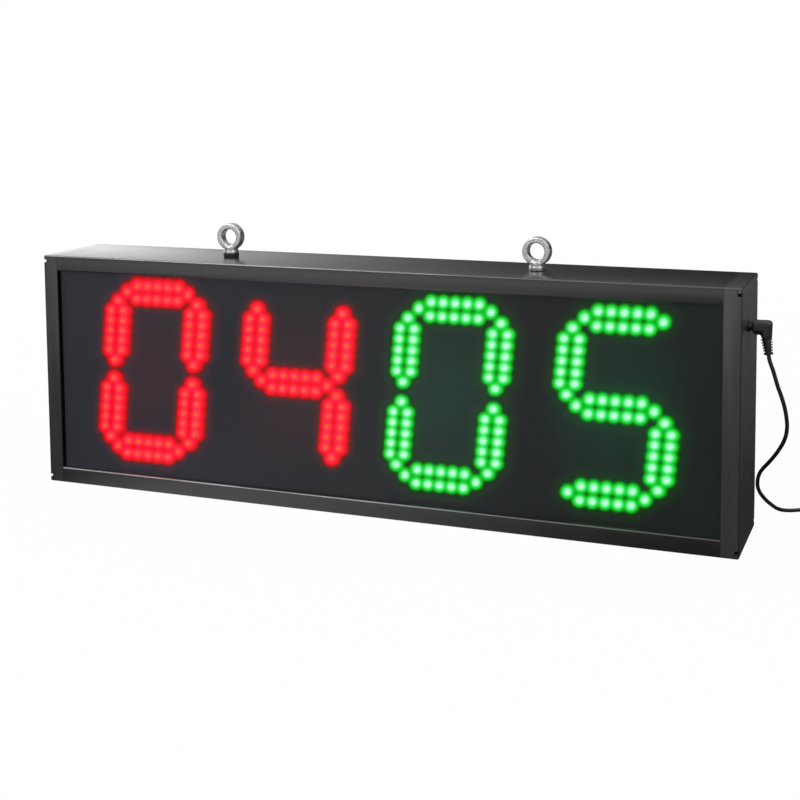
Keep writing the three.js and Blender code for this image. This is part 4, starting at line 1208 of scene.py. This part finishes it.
front_gloss = ((-0.7, 0.0), (-0.5, 0.1), (-0.36, 0.4), (-0.14, 0.25), (0.2, 0.3))
ceiling_gloss = ((-0.6, 1.0), (-0.45, 1.1), (-0.36, 1.1), (-0.28, 0.95), (-0.1, 0.8))


def ramped(tree, value, stops):
    """A value that follows straight runs between pairs of place and level."""
    low, high = stops[0][0], stops[-1][0]
    return colour_ramp(tree, remapped(tree, value, low, high),
                       [((place - low) / (high - low), (level,) * 3) for place, level in stops])


def shown_room(tree, shader, white, gloss):
    """Mixes in the white that the camera and glass see, and the light that a gloss sees."""
    path = add_node(tree, "LightPath").outputs
    maths = calculator(tree)
    seen = maths("MULTIPLY", maths("MAXIMUM", path["Is Camera Ray"], path["Is Transmission Ray"]), white)
    for share, strength in ((seen, 1.0), (path["Is Glossy Ray"], gloss)):
        glow = add_node(tree, "Emission", inputs=(("Color", (1, 1, 1, 1)), ("Strength", strength)))
        shader = add_node(tree, "MixShader", inputs=(
            ("Fac", share), (1, shader), (2, glow.outputs[0]))).outputs[0]
    return shader


floor_shape = bmesh.new()
bmesh.ops.create_grid(floor_shape, x_segments=1, y_segments=1, size=floor_reach)
floor_material, floor_shader = new_material("studio_floor", (floor_albedo,) * 3, 0.8)
floor_tree = floor_material.node_tree
floor_place = object_place(floor_tree)
floor_distance = add_node(floor_tree, "VectorMath", operation="LENGTH", inputs=((0, floor_place),))
floor_share = remapped(floor_tree, floor_distance.outputs["Value"], floor_near, floor_far,
                       floor_white_near, floor_white_far)
floor_axes = add_node(floor_tree, "SeparateXYZ", inputs=((0, floor_place),)).outputs
floor_maths = calculator(floor_tree)
floor_shine = ramped(floor_tree, floor_axes["Y"], ((-2.1, beyond_gloss), (-1.8, 0.0)))
for gloss, reach in ((near_gloss, near_reach), (far_gloss, far_reach)):
    floor_shine = floor_maths("ADD", floor_shine, floor_maths(
        "MULTIPLY", ramped(floor_tree, floor_axes["X"], gloss), ramped(floor_tree, floor_axes["Y"], reach)))
floor_mix = shown_room(floor_tree, floor_shader.outputs[0], floor_share, floor_shine)
floor_tree.links.new(floor_mix, floor_tree.nodes["Material Output"].inputs["Surface"])
floor = piece_of(floor_shape, "studio_floor", floor_material)

world = bpy.data.worlds.new("studio")
bpy.context.scene.world = world
world.use_nodes = True
room = world.node_tree
room_glow = room.nodes["Background"]
room_glow.inputs["Color"].default_value = (1, 1, 1, 1)
room_glow.inputs["Strength"].default_value = room_light
room_way = add_node(room, "SeparateXYZ", inputs=(
    (0, add_node(room, "TexCoord").outputs["Generated"]),)).outputs
room_maths = calculator(room)
beside = room_maths("MAXIMUM", room_maths("SUBTRACT", room_way["X"], window_edge), 0.0)
window = room_maths("MULTIPLY", room_maths("EXPONENT", room_maths("MULTIPLY", beside, -window_fall)),
                    window_strength)
low_down = ramped(room, room_way["Z"], ((0.2, 1.0), (0.6, 0.0)))
behind = ramped(room, room_way["Y"], ((-0.1, 0.0), (0.3, 1.0)))
window = room_maths("MULTIPLY", room_maths("MULTIPLY", window, low_down), behind)
ceiling = room_maths("MULTIPLY", ramped(room, room_way["Z"], ((0.25, 0.0), (0.7, 1.0))),
                     ramped(room, room_way["X"], ceiling_gloss))
ahead = room_maths("MULTIPLY", ramped(room, room_way["Y"], ((-0.8, 1.0), (0.0, 0.0))),
                   ramped(room, room_way["X"], front_gloss))
room_shine = room_maths("ADD", room_maths("ADD", window, ceiling), ahead)
room_mix = shown_room(room, room_glow.outputs[0], 1.0, room_shine)
room.links.new(room_mix, room.nodes["World Output"].inputs["Surface"])

for name, place, size, power in (
        ("key_light", (-1.6, -2.2, 2.6), 1.6, 60),
        ("right_light", (2.4, -1.2, 1.8), 1.2, 22)):
    lamp = new_object(name, bpy.data.lights.new(name, "AREA"))
    lamp.data.size = size
    lamp.data.energy = power
    lamp.location = place
    lamp.rotation_mode = "QUATERNION"
    lamp.rotation_quaternion = (lamp_aim - Vector(place)).to_track_quat("-Z", "Y")

bpy.context.scene.view_settings.view_transform = "Standard"
